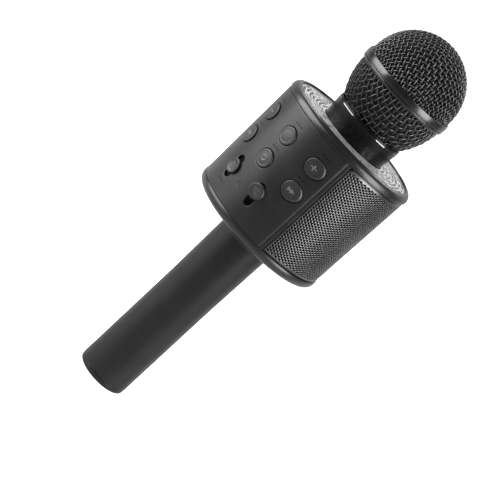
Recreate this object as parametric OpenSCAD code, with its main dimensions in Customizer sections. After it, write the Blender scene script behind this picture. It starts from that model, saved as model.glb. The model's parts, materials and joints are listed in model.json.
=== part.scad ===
// Wireless karaoke microphone: a slim handle, a round speaker drum with a control panel and a wire-mesh head.
// The microphone stands on the flat end of its handle. The origin is the centre of that flat, +Z runs up to
// the head and -Y is the control panel's side.

/* [Handle] */
// Radius of the straight grip
grip_r = 14.4; // [13.8:0.1:14.8]
// Radius of the handle where it meets the drum
handle_top_r = 15.1; // [14.8:0.1:15.4]
// Height of the top of the straight grip
grip_top_z = 66; // [50:1:80]
// Wall of the handle tube
handle_wall = 1.8; // [1.2:0.1:2]

/* [Drum] */
// Height of the underside of the drum
drum_z = 110.4; // [109:0.1:112]
// Height of the drum
drum_h = 69.3; // [69:0.1:70]
// Radius of the drum at its top seam
drum_top_r = 40.6; // [40.2:0.1:41]
// Radius of the drum at its bottom seam
drum_bottom_r = 39.6; // [39.4:0.1:40]
// Height of the top cap's edge
top_cap_h = 4.4; // [4.2:0.1:4.8]
// Height of the bottom cap's edge
bottom_cap_h = 5.2; // [5:0.1:5.6]
// Half the angle that the control panel and the rear panel each span
panel_half_angle = 47; // [46:0.1:48]
// Thickness of the panels
panel_t = 2; // [1.8:0.1:2.1]
// Depth of the grilles below the panels
grille_recess = 0.5; // [0.3:0.1:0.7]
// Thickness of the perforated grilles
grille_t = 0.8; // [0.6:0.1:0.9]

/* [Controls] */
// Diameter of a push button
button_d = 9.6; // [9:0.1:10]
// Gap round a button in its hole
button_gap = 0.3; // [0.2:0.05:0.35]
// How far a button stands out of the panel
button_proud = 0.9; // [0.8:0.1:1.1]
// How far a button moves when it is pressed
button_travel = 0.7; // [0.5:0.1:0.8]
// Distance from the middle column of buttons to each side column
column_x = 20.7; // [20.4:0.1:21]
// Height of the upper row of buttons
upper_row_z = 162.1; // [161.5:0.1:162.5]
// Height of the lower row of buttons
lower_row_z = 146.4; // [146:0.1:147]
// Distance from the middle to each slide switch
switch_x = 10.2; // [9.8:0.1:10.6]
// Height of the middle of the slide switch slots
switch_z = 131.4; // [131:0.1:132]
// Length of a slide switch slot
slot_l = 13.8; // [13.4:0.1:14.2]
// Width of a slide switch slot
slot_w = 4.6; // [4.4:0.1:4.9]
// Diameter of a slide switch knob
knob_d = 8.2; // [7.8:0.1:8.4]
// Step from the middle of a slot to its upper or lower position
switch_step = 2; // [1.6:0.1:2.2]

/* [Neck and head] */
// Radius of the neck collar at the drum
neck_bottom_r = 19.4; // [19.2:0.1:19.6]
// Radius of the neck collar at its top
neck_top_r = 20.4; // [20.2:0.1:20.6]
// Height of the top of the neck collar
neck_top_z = 189.7; // [189.4:0.1:190]
// Height of the middle of the head's band
band_z = 214.1; // [213.8:0.1:214.4]
// Outer radius of the head's band
band_r = 27.4; // [27.2:0.1:27.6]
// Height of the band
band_h = 5.5; // [5:0.1:6]
// Radius of the upper mesh dome
mesh_r = 26.4; // [26.2:0.1:26.5]
// Thickness of the woven mesh
mesh_t = 1.2; // [1:0.1:1.3]
// Height of the whole microphone
total_h = 245; // [244.5:0.1:245.5]

/* [Hidden] */
$fn = 96;
eps = 0.01;
seam = 0.1;                             // gap left between pieces that are fastened to each other

// Handle
end_cap_h = 3;
end_cap_edge = 1.4;
plug_h = 8;                             // the part of the end cap that is inside the tube
flare_h = 6;
flare_w = 4;
flare_lip = 0.3;
bore_r = grip_r - handle_wall;
cell_r = 9.2;
cell_l = 65;
cell_z = end_cap_h + plug_h + 3;
battery_board_z = cell_z + cell_l + 5;

// Drum
drum_top_z = drum_z + drum_h;
seam_top_z = drum_top_z - top_cap_h;
seam_bottom_z = drum_z + bottom_cap_h;
panel_z = seam_bottom_z + 1.5 * seam;
panel_h = seam_top_z - seam_bottom_z - 3 * seam;
mid_z = (seam_top_z + seam_bottom_z) / 2;
side_gap = 0.35;                        // angle left free between a grille and a panel
groove_angle = 2.6;                     // from a panel's edge to the groove that frames it
cap_edge = 3.6;                         // rounding of the caps
cap_wall = 3.4;
web_t = 2.5;                            // floor of each cap
plate_t = 1.2;
plate_depth = 1;                        // from the rim down to the plate's face
plate_r = drum_top_r - 3.8;
plate_z = drum_top_z - plate_depth - plate_t;
nut_t = 2.8;
nut_w = 4.4;
frame_t = 2.8;
frame_r = 35.5;
lower_frame_z = drum_z + web_t + nut_t + 4 * seam;
upper_frame_z = plate_z - web_t - nut_t - frame_t - 2 * seam;
screw_circle_r = 26;

// Speakers
baffle_x = 27;
baffle_t = 2;
baffle_w = 43;
speaker_r = 20;
speaker_x = baffle_x + baffle_t + 0.05;
basket_depth = 8;
speaker_flange_t = 1.4;
speaker_screw_r = 18.75;

// Electronics
board_y = -20;                          // front face of the control board
board_t = 1.6;
board_back = board_y + board_t;
board_w = 48;
board_z = lower_frame_z + frame_t + 1;
board_posts = [[-10.3, 164.4], [10.3, 164.4], [-20, 125], [20, 125]];
tact_h = 3.4;
tact_w = 6;
plunger_r = 1.6;
port_x = -3.2;                          // left face of the port board
port_side = port_x + board_t;           // face that the sockets are soldered to
port_y = 37;                            // front of the sockets
jack_r = 1.8;
jack_x = port_side + 3;
jack_z = 160;
charge_z = 147;
card_z = 132;
light_z = switch_z - 3.2;

// Controls
button_r = button_d / 2;
button_flange_r = button_r + 0.9;
button_flange_t = 1;
panel_inner_r = drum_bottom_r - panel_t;
knob_gap = 0.4;                         // between a knob's disc and the panel
knob_proud = 1.5;
stem_l = 7;

// Head
skirt_r = 17.5;                         // the head's screw thread, drawn plain
skirt_h = 7.4;
neck_bore_r = skirt_r + 0.3;
neck_floor = 3;
lead_hole_r = 3;
neck_z = plate_z - web_t - nut_t - seam;
post_h = 24;
capsule_z = neck_z + neck_floor + seam + post_h;
bowl_offset = 11;                       // the lower mesh is an arc centred this far beyond the axis
bowl_drop = 2;                          // and this far below the band
dome_z = total_h - mesh_r;
foam_gap = 0.3;
foam_t = 4;

// Button number n, counted along the rows from the upper left: its x and z.
function button_at(n) = [((n - 1) % 3 - 1) * column_x, n <= 3 ? upper_row_z : lower_row_z];

// Outer face of a button's flange, just behind the panel at the flange's far edge.
function button_flange_y(x) = 0.4 - sqrt(pow(panel_inner_r, 2) - pow(abs(x) + button_flange_r, 2));

// The points with every corner cut off, as many times as asked.
function cut_corners(p, times) = times == 0 ? p : cut_corners(concat(
    [p[0]], [for (i = [0 : len(p) - 2], f = [0.25, 0.75]) p[i] * (1 - f) + p[i + 1] * f], [p[len(p) - 1]]
), times - 1);

function unit(v) = v / norm(v);

// A wire of radius r along a rounded route. `across` is a direction that the route never takes.
module wire(route, r, across) {
    p = cut_corners(route, 2);
    last = len(p) - 1;
    sides = 8;
    rings = [for (i = [0 : last])
        let (t = unit(p[min(i + 1, last)] - p[max(i - 1, 0)]), u = unit(cross(t, across)), w = cross(t, u))
            for (k = [0 : sides - 1]) p[i] + r * (cos(k * 360 / sides) * u + sin(k * 360 / sides) * w)];
    walls = [for (i = [0 : last - 1], k = [0 : sides - 1])
        let (a = i * sides + k, b = i * sides + (k + 1) % sides) [a, a + sides, b + sides, b]];
    polyhedron(rings, concat(
        [[for (k = [0 : sides - 1]) k]], [[for (k = [sides - 1 : -1 : 0]) last * sides + k]], walls
    ));
}

// A closed ring about +Z.
module ring(r_in, r_out, z, h) {
    translate([0, 0, z]) difference() {
        cylinder(r = r_out, h = h);
        translate([0, 0, -1]) cylinder(r = r_in, h = h + 2);
    }
}

// The cone of the drum's wall between the seams, grown by grow and run on by extra at both ends.
module drum_cone(grow, extra = 0) {
    slope = (drum_top_r - drum_bottom_r) / panel_h;
    translate([0, 0, panel_z - extra]) cylinder(
        r1 = drum_bottom_r + grow - extra * slope,
        r2 = drum_top_r + grow + extra * slope,
        h = panel_h + 2 * extra
    );
}

// A wedge about the direction `middle`, in degrees from +X.
module wedge(middle, half) {
    far = 80;
    rotate([0, 0, middle]) linear_extrude(height = 300)
        polygon([[0, 0], [far * cos(half), -far * sin(half)],
                 [far * 1.4, 0], [far * cos(half), far * sin(half)]]);
}

// A panel: the drum's wall within a wedge, with a fine groove that frames each side edge.
module curved_panel(middle) {
    difference() {
        intersection() {
            drum_cone(0);
            wedge(middle, panel_half_angle);
        }
        drum_cone(-panel_t, 5);
        for (side = [-1, 1]) intersection() {
            difference() {
                drum_cone(1, 5);
                drum_cone(-0.35, 5);
            }
            wedge(middle + side * (panel_half_angle - groove_angle), 0.3);
        }
    }
}

// A cylinder along Y from y0 to y1.
module y_cylinder(r, x, z, y0, y1) {
    translate([x, y1, z]) rotate([90, 0, 0]) cylinder(r = r, h = y1 - y0);
}

// A slot with round ends that runs along Z and is cut along Y.
module y_slot(w, l, x, z, y0, y1) {
    for (end = [-1, 1]) y_cylinder(w / 2, x, z + end * (l - w) / 2, y0, y1);
    translate([x - w / 2, y0, z - (l - w) / 2]) cube([w, y1 - y0, l - w]);
}

module case_screw_places() {
    for (a = [45 : 90 : 315]) rotate([0, 0, a]) translate([screw_circle_r, 0, drum_z]) children();
}

// ---- handle ----
module handle_tube() {
    color("#3a3a3c") difference() {
        union() {
            translate([0, 0, end_cap_h + seam]) cylinder(r = grip_r, h = grip_top_z - end_cap_h - seam);
            translate([0, 0, grip_top_z]) cylinder(r1 = grip_r, r2 = handle_top_r, h = drum_z - grip_top_z);
            translate([0, 0, drum_z]) cylinder(r = handle_top_r, h = web_t + nut_t);
        }
        translate([0, 0, -1]) cylinder(r = bore_r, h = drum_z + 20);
    }
}

module handle_end_cap() {
    cap_r = grip_r - 0.15;
    color("#2c2c2e") {
        rotate_extrude() {
            square([cap_r - end_cap_edge, end_cap_h]);
            translate([0, end_cap_edge]) square([cap_r, end_cap_h - end_cap_edge]);
            translate([cap_r - end_cap_edge, end_cap_edge]) circle(r = end_cap_edge);
        }
        translate([0, 0, end_cap_h - eps]) cylinder(r = bore_r - seam, h = plug_h);
    }
}

module handle_collar() {
    low = drum_z - seam - flare_h;
    color("#3f3f42") rotate_extrude() difference() {
        translate([handle_top_r + 0.08, low]) square([flare_w, flare_h]);
        translate([handle_top_r + flare_lip + flare_h, low]) circle(r = flare_h);
    }
}

module battery_cell() {
    color("#3b6ea5") {
        translate([0, 0, cell_z]) cylinder(r = cell_r, h = cell_l);
        translate([0, 0, cell_z + cell_l - eps]) cylinder(r = 3, h = 1);
    }
}

module battery_cradle() {
    cradle_r = bore_r - 0.4;
    color("#1f1f21") difference() {
        translate([0, 0, cell_z - 2]) cylinder(r = cradle_r, h = cell_l + 6);
        translate([0, 0, cell_z - 0.2]) cylinder(r = cell_r + 0.15, h = cell_l + 1.6);
        translate([-cradle_r, -cradle_r, cell_z - 3]) cube([2 * cradle_r, cradle_r, cell_l + 8]);
    }
}

module battery_board() {
    color("#1d5c37") translate([-8, -0.8, battery_board_z]) cube([16, 1.6, 16]);
}

module battery_leads() {
    low = battery_board_z + 14;
    top = lower_frame_z + frame_t;
    color("#b02020") for (x = [-3, 3])
        wire([[x, 1.7, low], [x, 3.5, low + 6], [x, 3.5, top],
              [x, -6, top + 6], [x, board_back + 0.1, top + 8]], 0.8, [1, 0, 0]);
}

// ---- drum ----
module bottom_cap() {
    r = drum_bottom_r;
    color("#3d3d40") difference() {
        rotate_extrude() translate([0, drum_z]) {
            square([r - cap_edge, bottom_cap_h]);
            translate([0, cap_edge]) square([r, bottom_cap_h - cap_edge]);
            translate([r - cap_edge, cap_edge]) circle(r = cap_edge);
        }
        translate([0, 0, drum_z + web_t]) cylinder(r = r - cap_wall, h = 20);
        translate([0, 0, drum_z + bottom_cap_h]) cylinder(r = r + 2, h = 5);
        translate([0, 0, drum_z - 1]) cylinder(r = handle_top_r + seam, h = 20);
        case_screw_places() {
            translate([0, 0, -1]) cylinder(r = 1.45, h = 20);
            translate([0, 0, -1]) cylinder(r = 2.6, h = 2.3);
        }
    }
}

module top_cap() {
    r = drum_top_r;
    color("#3d3d40") difference() {
        rotate_extrude() translate([0, seam_top_z]) {
            square([r - cap_edge, top_cap_h]);
            square([r, top_cap_h - cap_edge]);
            translate([r - cap_edge, top_cap_h - cap_edge]) circle(r = cap_edge);
        }
        translate([0, 0, plate_z]) cylinder(r = plate_r + seam, h = 20);
        translate([0, 0, seam_top_z - 5]) cylinder(r = r + 2, h = 5);
        translate([0, 0, seam_top_z - 5]) cylinder(r = neck_bottom_r + seam, h = 20);
    }
}

module top_plate() {
    color("#c9c9cc") ring(neck_bottom_r + 0.4, plate_r, plate_z, plate_t);
}

module front_panel() {
    color("#4b4b4e") {
        difference() {
            curved_panel(-90);
            for (n = [1 : 6]) y_cylinder(button_r + button_gap, button_at(n)[0], button_at(n)[1], -60, 0);
            for (side = [-1, 1]) y_slot(slot_w, slot_l, side * switch_x, switch_z, -60, 0);
            y_cylinder(1.25, 0, light_z, -60, 0);
        }
        for (place = board_posts) difference() {
            intersection() {
                drum_cone(-panel_t + 0.2);
                y_cylinder(2.2, place[0], place[1], -60, board_y - 0.05);
            }
            y_cylinder(0.9, place[0], place[1], board_y - 6, 0);
        }
    }
}

module rear_panel() {
    color("#4b4b4e") difference() {
        curved_panel(90);
        y_cylinder(3.2, jack_x, jack_z, 0, 60);
        translate([port_side + 1.27 - 2.7, 0, charge_z - 5.1]) cube([5.4, 60, 10.2]);
        translate([port_side + 0.97 - 1.2, 0, card_z - 6.2]) cube([2.4, 60, 12.4]);
    }
}

module grille(middle) {
    color("#5c5c60") difference() {
        intersection() {
            drum_cone(-grille_recess);
            wedge(middle, 90 - panel_half_angle - side_gap);
        }
        drum_cone(-grille_recess - grille_t, 5);
    }
}
module grille_left() { grille(180); }
module grille_right() { grille(0); }

module lower_frame() {
    color("#222224") difference() {
        ring(10, frame_r, lower_frame_z, frame_t);
        case_screw_places() cylinder(r = 1.4, h = 20);
    }
}

module upper_frame() {
    color("#222224") ring(11, frame_r, upper_frame_z, frame_t);
}

// The two ring nuts that clamp the handle and the neck to the drum's caps.
module clamp_nuts() {
    color("#8a8a8c") {
        ring(handle_top_r + 0.05, handle_top_r + nut_w, drum_z + web_t + seam, nut_t - seam);
        ring(neck_bottom_r + 0.05, neck_bottom_r + nut_w, neck_z, nut_t - seam);
    }
}

module case_screws() {
    color("#9a9a9c") case_screw_places() difference() {
        union() {
            translate([0, 0, 0.2]) cylinder(r = 2.4, h = 1);
            translate([0, 0, 1]) cylinder(r = 1.3, h = 7);
        }
        for (turn = [0, 90]) rotate([0, 0, turn]) translate([-1.3, -0.25, -1]) cube([2.6, 0.5, 1.7]);
    }
}

// ---- speakers: drawn along +X about the drum's middle, and mirrored for the left one ----
module side_of(side) {
    mirror([side < 0 ? 1 : 0, 0, 0]) translate([0, 0, mid_z]) children();
}

module around_x(x) {
    translate([x, 0, 0]) rotate([0, 90, 0]) rotate_extrude() children();
}

module speaker_screw_places(x) {
    for (a = [45 : 90 : 315])
        translate([x, speaker_screw_r * sin(a), speaker_screw_r * cos(a)]) rotate([0, 90, 0]) children();
}

module baffle(side) {
    low = lower_frame_z + frame_t;
    color("#222224") side_of(side) difference() {
        translate([baffle_x, -baffle_w / 2, low - mid_z]) cube([baffle_t, baffle_w, upper_frame_z - low]);
        translate([baffle_x - 1, 0, 0]) rotate([0, 90, 0]) cylinder(r = 17.3, h = 5);
        speaker_screw_places(baffle_x - 1) cylinder(r = 1.1, h = 5);
    }
}
module baffle_left() { baffle(-1); }
module baffle_right() { baffle(1); }

module speaker_basket(side) {
    d = basket_depth;
    color("#3a3a3a") side_of(side) difference() {
        union() {
            around_x(speaker_x) translate([15.8, 0]) square([speaker_r - 15.8, speaker_flange_t]);
            around_x(speaker_x - d)
                polygon([[9, 0], [13.2, 0], [17, d + eps], [15.8, d + eps], [12.4, 1.2], [9, 1.2]]);
        }
        speaker_screw_places(speaker_x - 1) cylinder(r = 1.1, h = 5);
    }
}
module speaker_basket_left() { speaker_basket(-1); }
module speaker_basket_right() { speaker_basket(1); }

module speaker_magnet(side) {
    color("#8a8a8c") side_of(side) {
        around_x(speaker_x - basket_depth - 6) square([11, 6]);
        around_x(speaker_x - basket_depth - eps) square([4, 3]);
    }
}
module speaker_magnet_left() { speaker_magnet(-1); }
module speaker_magnet_right() { speaker_magnet(1); }

module speaker_cone(side) {
    color("#1b1b1b") side_of(side) around_x(speaker_x - 4)
        polygon([[0, 2.4], [3, 2.1], [5.6, 0], [6.2, 0], [14.6, 4.6],
                 [14.6, 5.2], [6, 0.7], [3.1, 2.9], [0, 3.2]]);
}
module speaker_cone_left() { speaker_cone(-1); }
module speaker_cone_right() { speaker_cone(1); }

// The rubber half-roll between the cone and the basket.
module speaker_surround(side) {
    roll = 1.2;
    roll_r = 15.7;
    color("#101010") side_of(side) around_x(speaker_x + speaker_flange_t + 0.05) {
        intersection() {
            translate([roll_r, 0]) difference() {
                circle(r = roll);
                circle(r = roll - 0.4);
            }
            translate([10, 0]) square([10, 3]);
        }
        translate([roll_r - roll - 0.5, 0]) square([0.8, 0.3]);
        translate([roll_r + roll - 0.3, 0]) square([0.7, 0.3]);
    }
}
module speaker_surround_left() { speaker_surround(-1); }
module speaker_surround_right() { speaker_surround(1); }

module speaker_screws() {
    head_x = speaker_x + speaker_flange_t + 0.05;
    color("#9a9a9c") for (side = [-1, 1]) side_of(side) speaker_screw_places(0) {
        translate([0, 0, baffle_x - 1]) cylinder(r = 1, h = head_x - baffle_x + 1.1);
        translate([0, 0, head_x]) cylinder(r = 1.3, h = 0.9);
    }
}

module speaker_leads() {
    color("#b02020") for (side = [-1, 1], dz = [-0.9, 0.9])
        wire([[side * (speaker_x - basket_depth - 0.05), -12.2, mid_z + dz],
              [side * 19.4, -12.4, mid_z + dz],
              [side * 18.8, -15, mid_z + dz], [side * 18.8, board_back + 0.05, mid_z + dz]], 0.5, [0, 0, 1]);
}

// ---- electronics ----
module control_board() {
    color("#1d5c37") difference() {
        translate([-board_w / 2, board_y, board_z]) cube([board_w, board_t, upper_frame_z - 1.5 - board_z]);
        for (place = board_posts) y_cylinder(1.1, place[0], place[1], -60, 0);
    }
}

module board_chips() {
    back = board_back + 0.02;
    color("#26262a") {
        translate([-8, back, 150]) cube([16, 2, 10]);
        for (x = [-12, 10]) translate([x - 4, back, 136]) cube([8, 1.6, 8]);
        for (x = [-14, 14]) y_cylinder(3, x, 126, back, back + 6.5);
    }
}

module board_screws() {
    color("#9a9a9c") for (place = board_posts) {
        y_cylinder(1.9, place[0], place[1], board_back + 0.02, board_back + 1);
        y_cylinder(0.85, place[0], place[1], board_y - 4, board_back + 0.03);
    }
}

module tact_switches() {
    color("#303034") for (n = [1 : 6]) {
        at = button_at(n);
        difference() {
            translate([at[0] - tact_w / 2, board_y - tact_h, at[1] - tact_w / 2])
                cube([tact_w, tact_h - 0.02, tact_w]);
            y_cylinder(plunger_r + 0.15, at[0], at[1], board_y - tact_h - 1, board_y - 0.6);
        }
    }
}

module switch_bodies() {
    body_h = 6.2;
    color("#8c8c90") for (side = [-1, 1]) difference() {
        translate([side * switch_x - 3, board_y - body_h, switch_z - 7]) cube([6, body_h - 0.02, 14]);
        translate([side * switch_x - 1.5, board_y - body_h - 1, switch_z - 5]) cube([3, 4.2, 10]);
    }
}

module light_pipe() {
    color("#cfe3ff") intersection() {
        drum_cone(0.1);
        y_cylinder(1.1, 0, light_z, -60, board_y - 0.05);
    }
}

module port_board() {
    color("#1d5c37") translate([port_x, 20, board_z]) cube([board_t, 13.5, 45]);
}

module audio_jack() {
    depth = 12.6;
    color("#151516") difference() {
        union() {
            translate([port_side + 0.02, port_y - 13, jack_z - 3]) cube([6, 13, 6]);
            y_cylinder(2.9, jack_x, jack_z, port_y - 1, port_y + 2.8);
        }
        y_cylinder(jack_r, jack_x, jack_z, port_y + 2.8 - depth, port_y + 5);
    }
}

// A metal shell with a plastic tongue inside it.
module charge_socket() {
    x = port_side + 0.02;
    color("#b8b8bc") {
        difference() {
            translate([x, port_y - 6, charge_z - 3.75]) cube([2.5, 6, 7.5]);
            translate([x + 0.3, port_y - 5, charge_z - 3.45]) cube([1.9, 6, 6.9]);
        }
        translate([x + 0.95, port_y - 5 - eps, charge_z - 2.2]) cube([0.6, 4, 4.4]);
    }
}

module card_socket() {
    x = port_side + 0.02;
    color("#b8b8bc") difference() {
        translate([x, port_y - 14.4, card_z - 6.6]) cube([1.9, 14.4, 13.2]);
        translate([x + 0.4, port_y - 13.6, card_z - 5.6]) cube([1.1, 15, 11.2]);
    }
}

// ---- neck and head ----
module neck_collar() {
    color("#161617") difference() {
        union() {
            translate([0, 0, neck_z]) cylinder(r = neck_bottom_r, h = drum_top_z - neck_z);
            translate([0, 0, drum_top_z])
                cylinder(r1 = neck_bottom_r, r2 = neck_top_r, h = neck_top_z - drum_top_z);
        }
        translate([0, 0, neck_z + neck_floor]) cylinder(r = neck_bore_r, h = 30);
        translate([0, 0, neck_top_z - 1]) cylinder(r = 18.9, h = 5);
        translate([0, 0, neck_z - 1]) cylinder(r = lead_hole_r, h = 10);
    }
}

module capsule_post() {
    low = neck_z + neck_floor + seam;
    color("#1a1a1c") difference() {
        union() {
            translate([0, 0, low]) cylinder(r = 13, h = 2);
            translate([0, 0, low]) cylinder(r = 8, h = post_h);
        }
        translate([0, 0, low - 1]) cylinder(r = lead_hole_r, h = post_h + 2);
    }
}

module capsule_cushion() {
    color("#101010") difference() {
        translate([0, 0, capsule_z + 0.05]) cylinder(r = 9, h = 11);
        translate([0, 0, capsule_z + 4]) cylinder(r = 4.9, h = 20);
        translate([0, 0, capsule_z - 1]) cylinder(r = 2, h = 20);
    }
}

module capsule() {
    color("#c4a34a") difference() {
        translate([0, 0, capsule_z + 4.05]) cylinder(r = 4.85, h = 7.4);
        translate([0, 0, capsule_z + 11]) cylinder(r = 1, h = 2);
    }
}

module capsule_lead() {
    color("#2b2b2b")
        wire([[0, 0, capsule_z + 4], [0, 0, upper_frame_z], [0, -8, upper_frame_z - 4],
              [0, board_back + 0.05, upper_frame_z - 4.8]], 0.9, [1, 0, 0]);
}

module head_seal() {
    color("#0c0c0c") ring(skirt_r + 0.25, 18.65, neck_top_z - 0.9, 0.8);
}

module head_base_ring() {
    lip_z = neck_top_z + 0.15;
    color("#1c1c1e") difference() {
        union() {
            translate([0, 0, lip_z]) cylinder(r1 = neck_top_r, r2 = neck_top_r - 0.2, h = 0.9);
            translate([0, 0, neck_top_z - skirt_h]) cylinder(r = skirt_r, h = skirt_h + 2.2);
        }
        translate([0, 0, neck_top_z - skirt_h - 1]) cylinder(r = skirt_r - 1.9, h = 20);
    }
}

// Outline of the lower mesh bowl, moved inwards by inset.
module bowl_outline(inset) {
    translate([-bowl_offset, band_z - bowl_drop]) circle(r = mesh_r + bowl_offset - inset);
}

module lower_mesh() {
    low = neck_top_z + 1.1;
    color("#2a2a2c") rotate_extrude() intersection() {
        difference() {
            bowl_outline(0);
            bowl_outline(mesh_t);
        }
        translate([0, low]) square([40, band_z - seam - low]);
    }
}

module upper_mesh() {
    color("#2a2a2c") rotate_extrude() {
        intersection() {
            translate([0, dome_z]) difference() {
                circle(r = mesh_r);
                circle(r = mesh_r - mesh_t);
            }
            translate([0, dome_z]) square([40, 40]);
        }
        translate([mesh_r - mesh_t, band_z + seam]) square([mesh_t, dome_z - band_z - seam]);
    }
}

// The band clamps the two meshes with a thin web that lies between them.
module head_band() {
    color("#55555a") {
        ring(mesh_r + 0.05, band_r, band_z - band_h / 2, band_h);
        ring(mesh_r - mesh_t, mesh_r + 0.3, band_z - 0.08, 0.16);
    }
}

module foam_liner() {
    outer = mesh_r - mesh_t - foam_gap;
    inner = outer - foam_t;
    low = neck_top_z + 3;
    middle = band_z - bowl_drop;
    color("#121212") rotate_extrude() difference() {
        union() {
            intersection() {
                translate([0, dome_z]) circle(r = outer);
                translate([0, dome_z]) square([40, 40]);
            }
            translate([0, middle]) square([outer, dome_z - middle]);
            intersection() {
                bowl_outline(mesh_t + foam_gap);
                translate([0, low]) square([40, middle - low]);
            }
        }
        intersection() {
            translate([0, dome_z]) circle(r = inner);
            translate([0, dome_z]) square([40, 40]);
        }
        translate([0, band_z - 8]) square([inner, dome_z - band_z + 8]);
        translate([0, low - 1]) square([14, 40]);
    }
}

// ---- push buttons; each slides inwards along +Y, and its stem presses a switch on the board ----
module button(n) {
    x = button_at(n)[0];
    z = button_at(n)[1];
    flange_y = button_flange_y(x);
    stem_end = board_y - 0.6 - button_travel - 0.4;
    color("#46464a") {
        intersection() {
            drum_cone(button_proud, 5);
            y_cylinder(button_r, x, z, -60, flange_y);
        }
        y_cylinder(button_flange_r, x, z, flange_y - eps, flange_y + button_flange_t);
        y_cylinder(plunger_r, x, z, flange_y + button_flange_t - eps, stem_end);
    }
}
module button_1() { button(1); }
module button_2() { button(2); }
module button_3() { button(3); }
module button_4() { button(4); }
module button_5() { button(5); }
module button_6() { button(6); }

// ---- slide switch knobs; each slides along Z. The left rests in the middle, the right at the top ----
module slide_knob(x, z) {
    stem_y = board_y - 7;
    color("#505054") {
        intersection() {
            difference() {
                drum_cone(knob_proud, 5);
                drum_cone(knob_gap, 5);
            }
            y_cylinder(knob_d / 2, x, z, -60, 0);
        }
        intersection() {
            drum_cone(knob_gap + 0.2, 5);
            y_slot(slot_w - 0.6, stem_l, x, z, -60, stem_y);
        }
        translate([x - 1.2, stem_y - eps, z - 1.2]) cube([2.4, 3.6, 2.4]);
    }
}
module left_knob() { slide_knob(-switch_x, switch_z); }
module right_knob() { slide_knob(switch_x, switch_z + switch_step); }

handle_tube();
handle_end_cap();
handle_collar();
battery_cell();
battery_cradle();
battery_board();
battery_leads();
bottom_cap();
top_cap();
top_plate();
front_panel();
rear_panel();
grille_left();
grille_right();
lower_frame();
upper_frame();
clamp_nuts();
case_screws();
baffle_left();
baffle_right();
speaker_basket_left();
speaker_basket_right();
speaker_magnet_left();
speaker_magnet_right();
speaker_cone_left();
speaker_cone_right();
speaker_surround_left();
speaker_surround_right();
speaker_screws();
speaker_leads();
control_board();
board_chips();
board_screws();
tact_switches();
switch_bodies();
light_pipe();
port_board();
audio_jack();
charge_socket();
card_socket();
neck_collar();
capsule_post();
capsule_cushion();
capsule();
capsule_lead();
head_seal();
head_base_ring();
lower_mesh();
head_band();
upper_mesh();
foam_liner();
button_1();
button_2();
button_3();
button_4();
button_5();
button_6();
left_knob();
right_knob();
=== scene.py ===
"""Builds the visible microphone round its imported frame: pieces, finishes, soft lights and camera."""

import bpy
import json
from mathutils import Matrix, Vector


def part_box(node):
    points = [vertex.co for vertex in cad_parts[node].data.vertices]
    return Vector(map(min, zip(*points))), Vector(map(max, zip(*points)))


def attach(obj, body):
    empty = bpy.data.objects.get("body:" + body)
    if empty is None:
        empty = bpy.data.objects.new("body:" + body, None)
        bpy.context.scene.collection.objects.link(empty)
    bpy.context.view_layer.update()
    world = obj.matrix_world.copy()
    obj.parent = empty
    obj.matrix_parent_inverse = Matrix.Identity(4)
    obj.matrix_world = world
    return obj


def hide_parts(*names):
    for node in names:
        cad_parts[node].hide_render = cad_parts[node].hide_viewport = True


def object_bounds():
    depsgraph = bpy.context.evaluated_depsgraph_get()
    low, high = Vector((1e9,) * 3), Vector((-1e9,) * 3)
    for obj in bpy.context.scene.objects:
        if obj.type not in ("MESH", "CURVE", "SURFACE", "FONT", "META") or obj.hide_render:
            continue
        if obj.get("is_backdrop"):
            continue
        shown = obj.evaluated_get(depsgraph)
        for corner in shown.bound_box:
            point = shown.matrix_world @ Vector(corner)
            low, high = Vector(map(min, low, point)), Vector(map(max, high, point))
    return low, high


bl_info = {
    "name": "Karaoke Microphone",
    "version": (1, 0, 0),
    "blender": (4, 5, 0),
    "location": "View3D > Sidebar > Microphone",
    "description": "Handle, speaker drum, controls and woven head of a karaoke microphone, finishes and studio",
    "category": "Add Mesh",
}

import json

import bpy
import numpy as np
from bpy.props import FloatProperty, FloatVectorProperty, PointerProperty
from mathutils import Matrix, Vector

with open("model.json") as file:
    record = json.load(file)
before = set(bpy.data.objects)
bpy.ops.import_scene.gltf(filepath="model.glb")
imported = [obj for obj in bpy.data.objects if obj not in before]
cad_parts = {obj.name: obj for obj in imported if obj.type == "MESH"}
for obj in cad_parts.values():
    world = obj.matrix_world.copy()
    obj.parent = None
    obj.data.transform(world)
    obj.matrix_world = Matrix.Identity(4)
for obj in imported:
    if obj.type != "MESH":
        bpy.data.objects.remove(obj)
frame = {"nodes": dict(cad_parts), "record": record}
CAD_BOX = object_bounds()

MM = 0.001                      # shapes are worked out in millimetres and stored in metres
WELD = 1e-5                     # points nearer than this, in mm, become one
HOLD = 0.1                      # how far past a rounding, in mm, the face is held flat
SLOT_OF = {part["node"]: part["material_slot"] for part in frame["record"]["subparts"]}


def low(node):
    """Lowest corner of a CAD node in mm."""
    return np.array(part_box(node)[0]) / MM


def high(node):
    """Highest corner of a CAD node in mm."""
    return np.array(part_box(node)[1]) / MM


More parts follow.
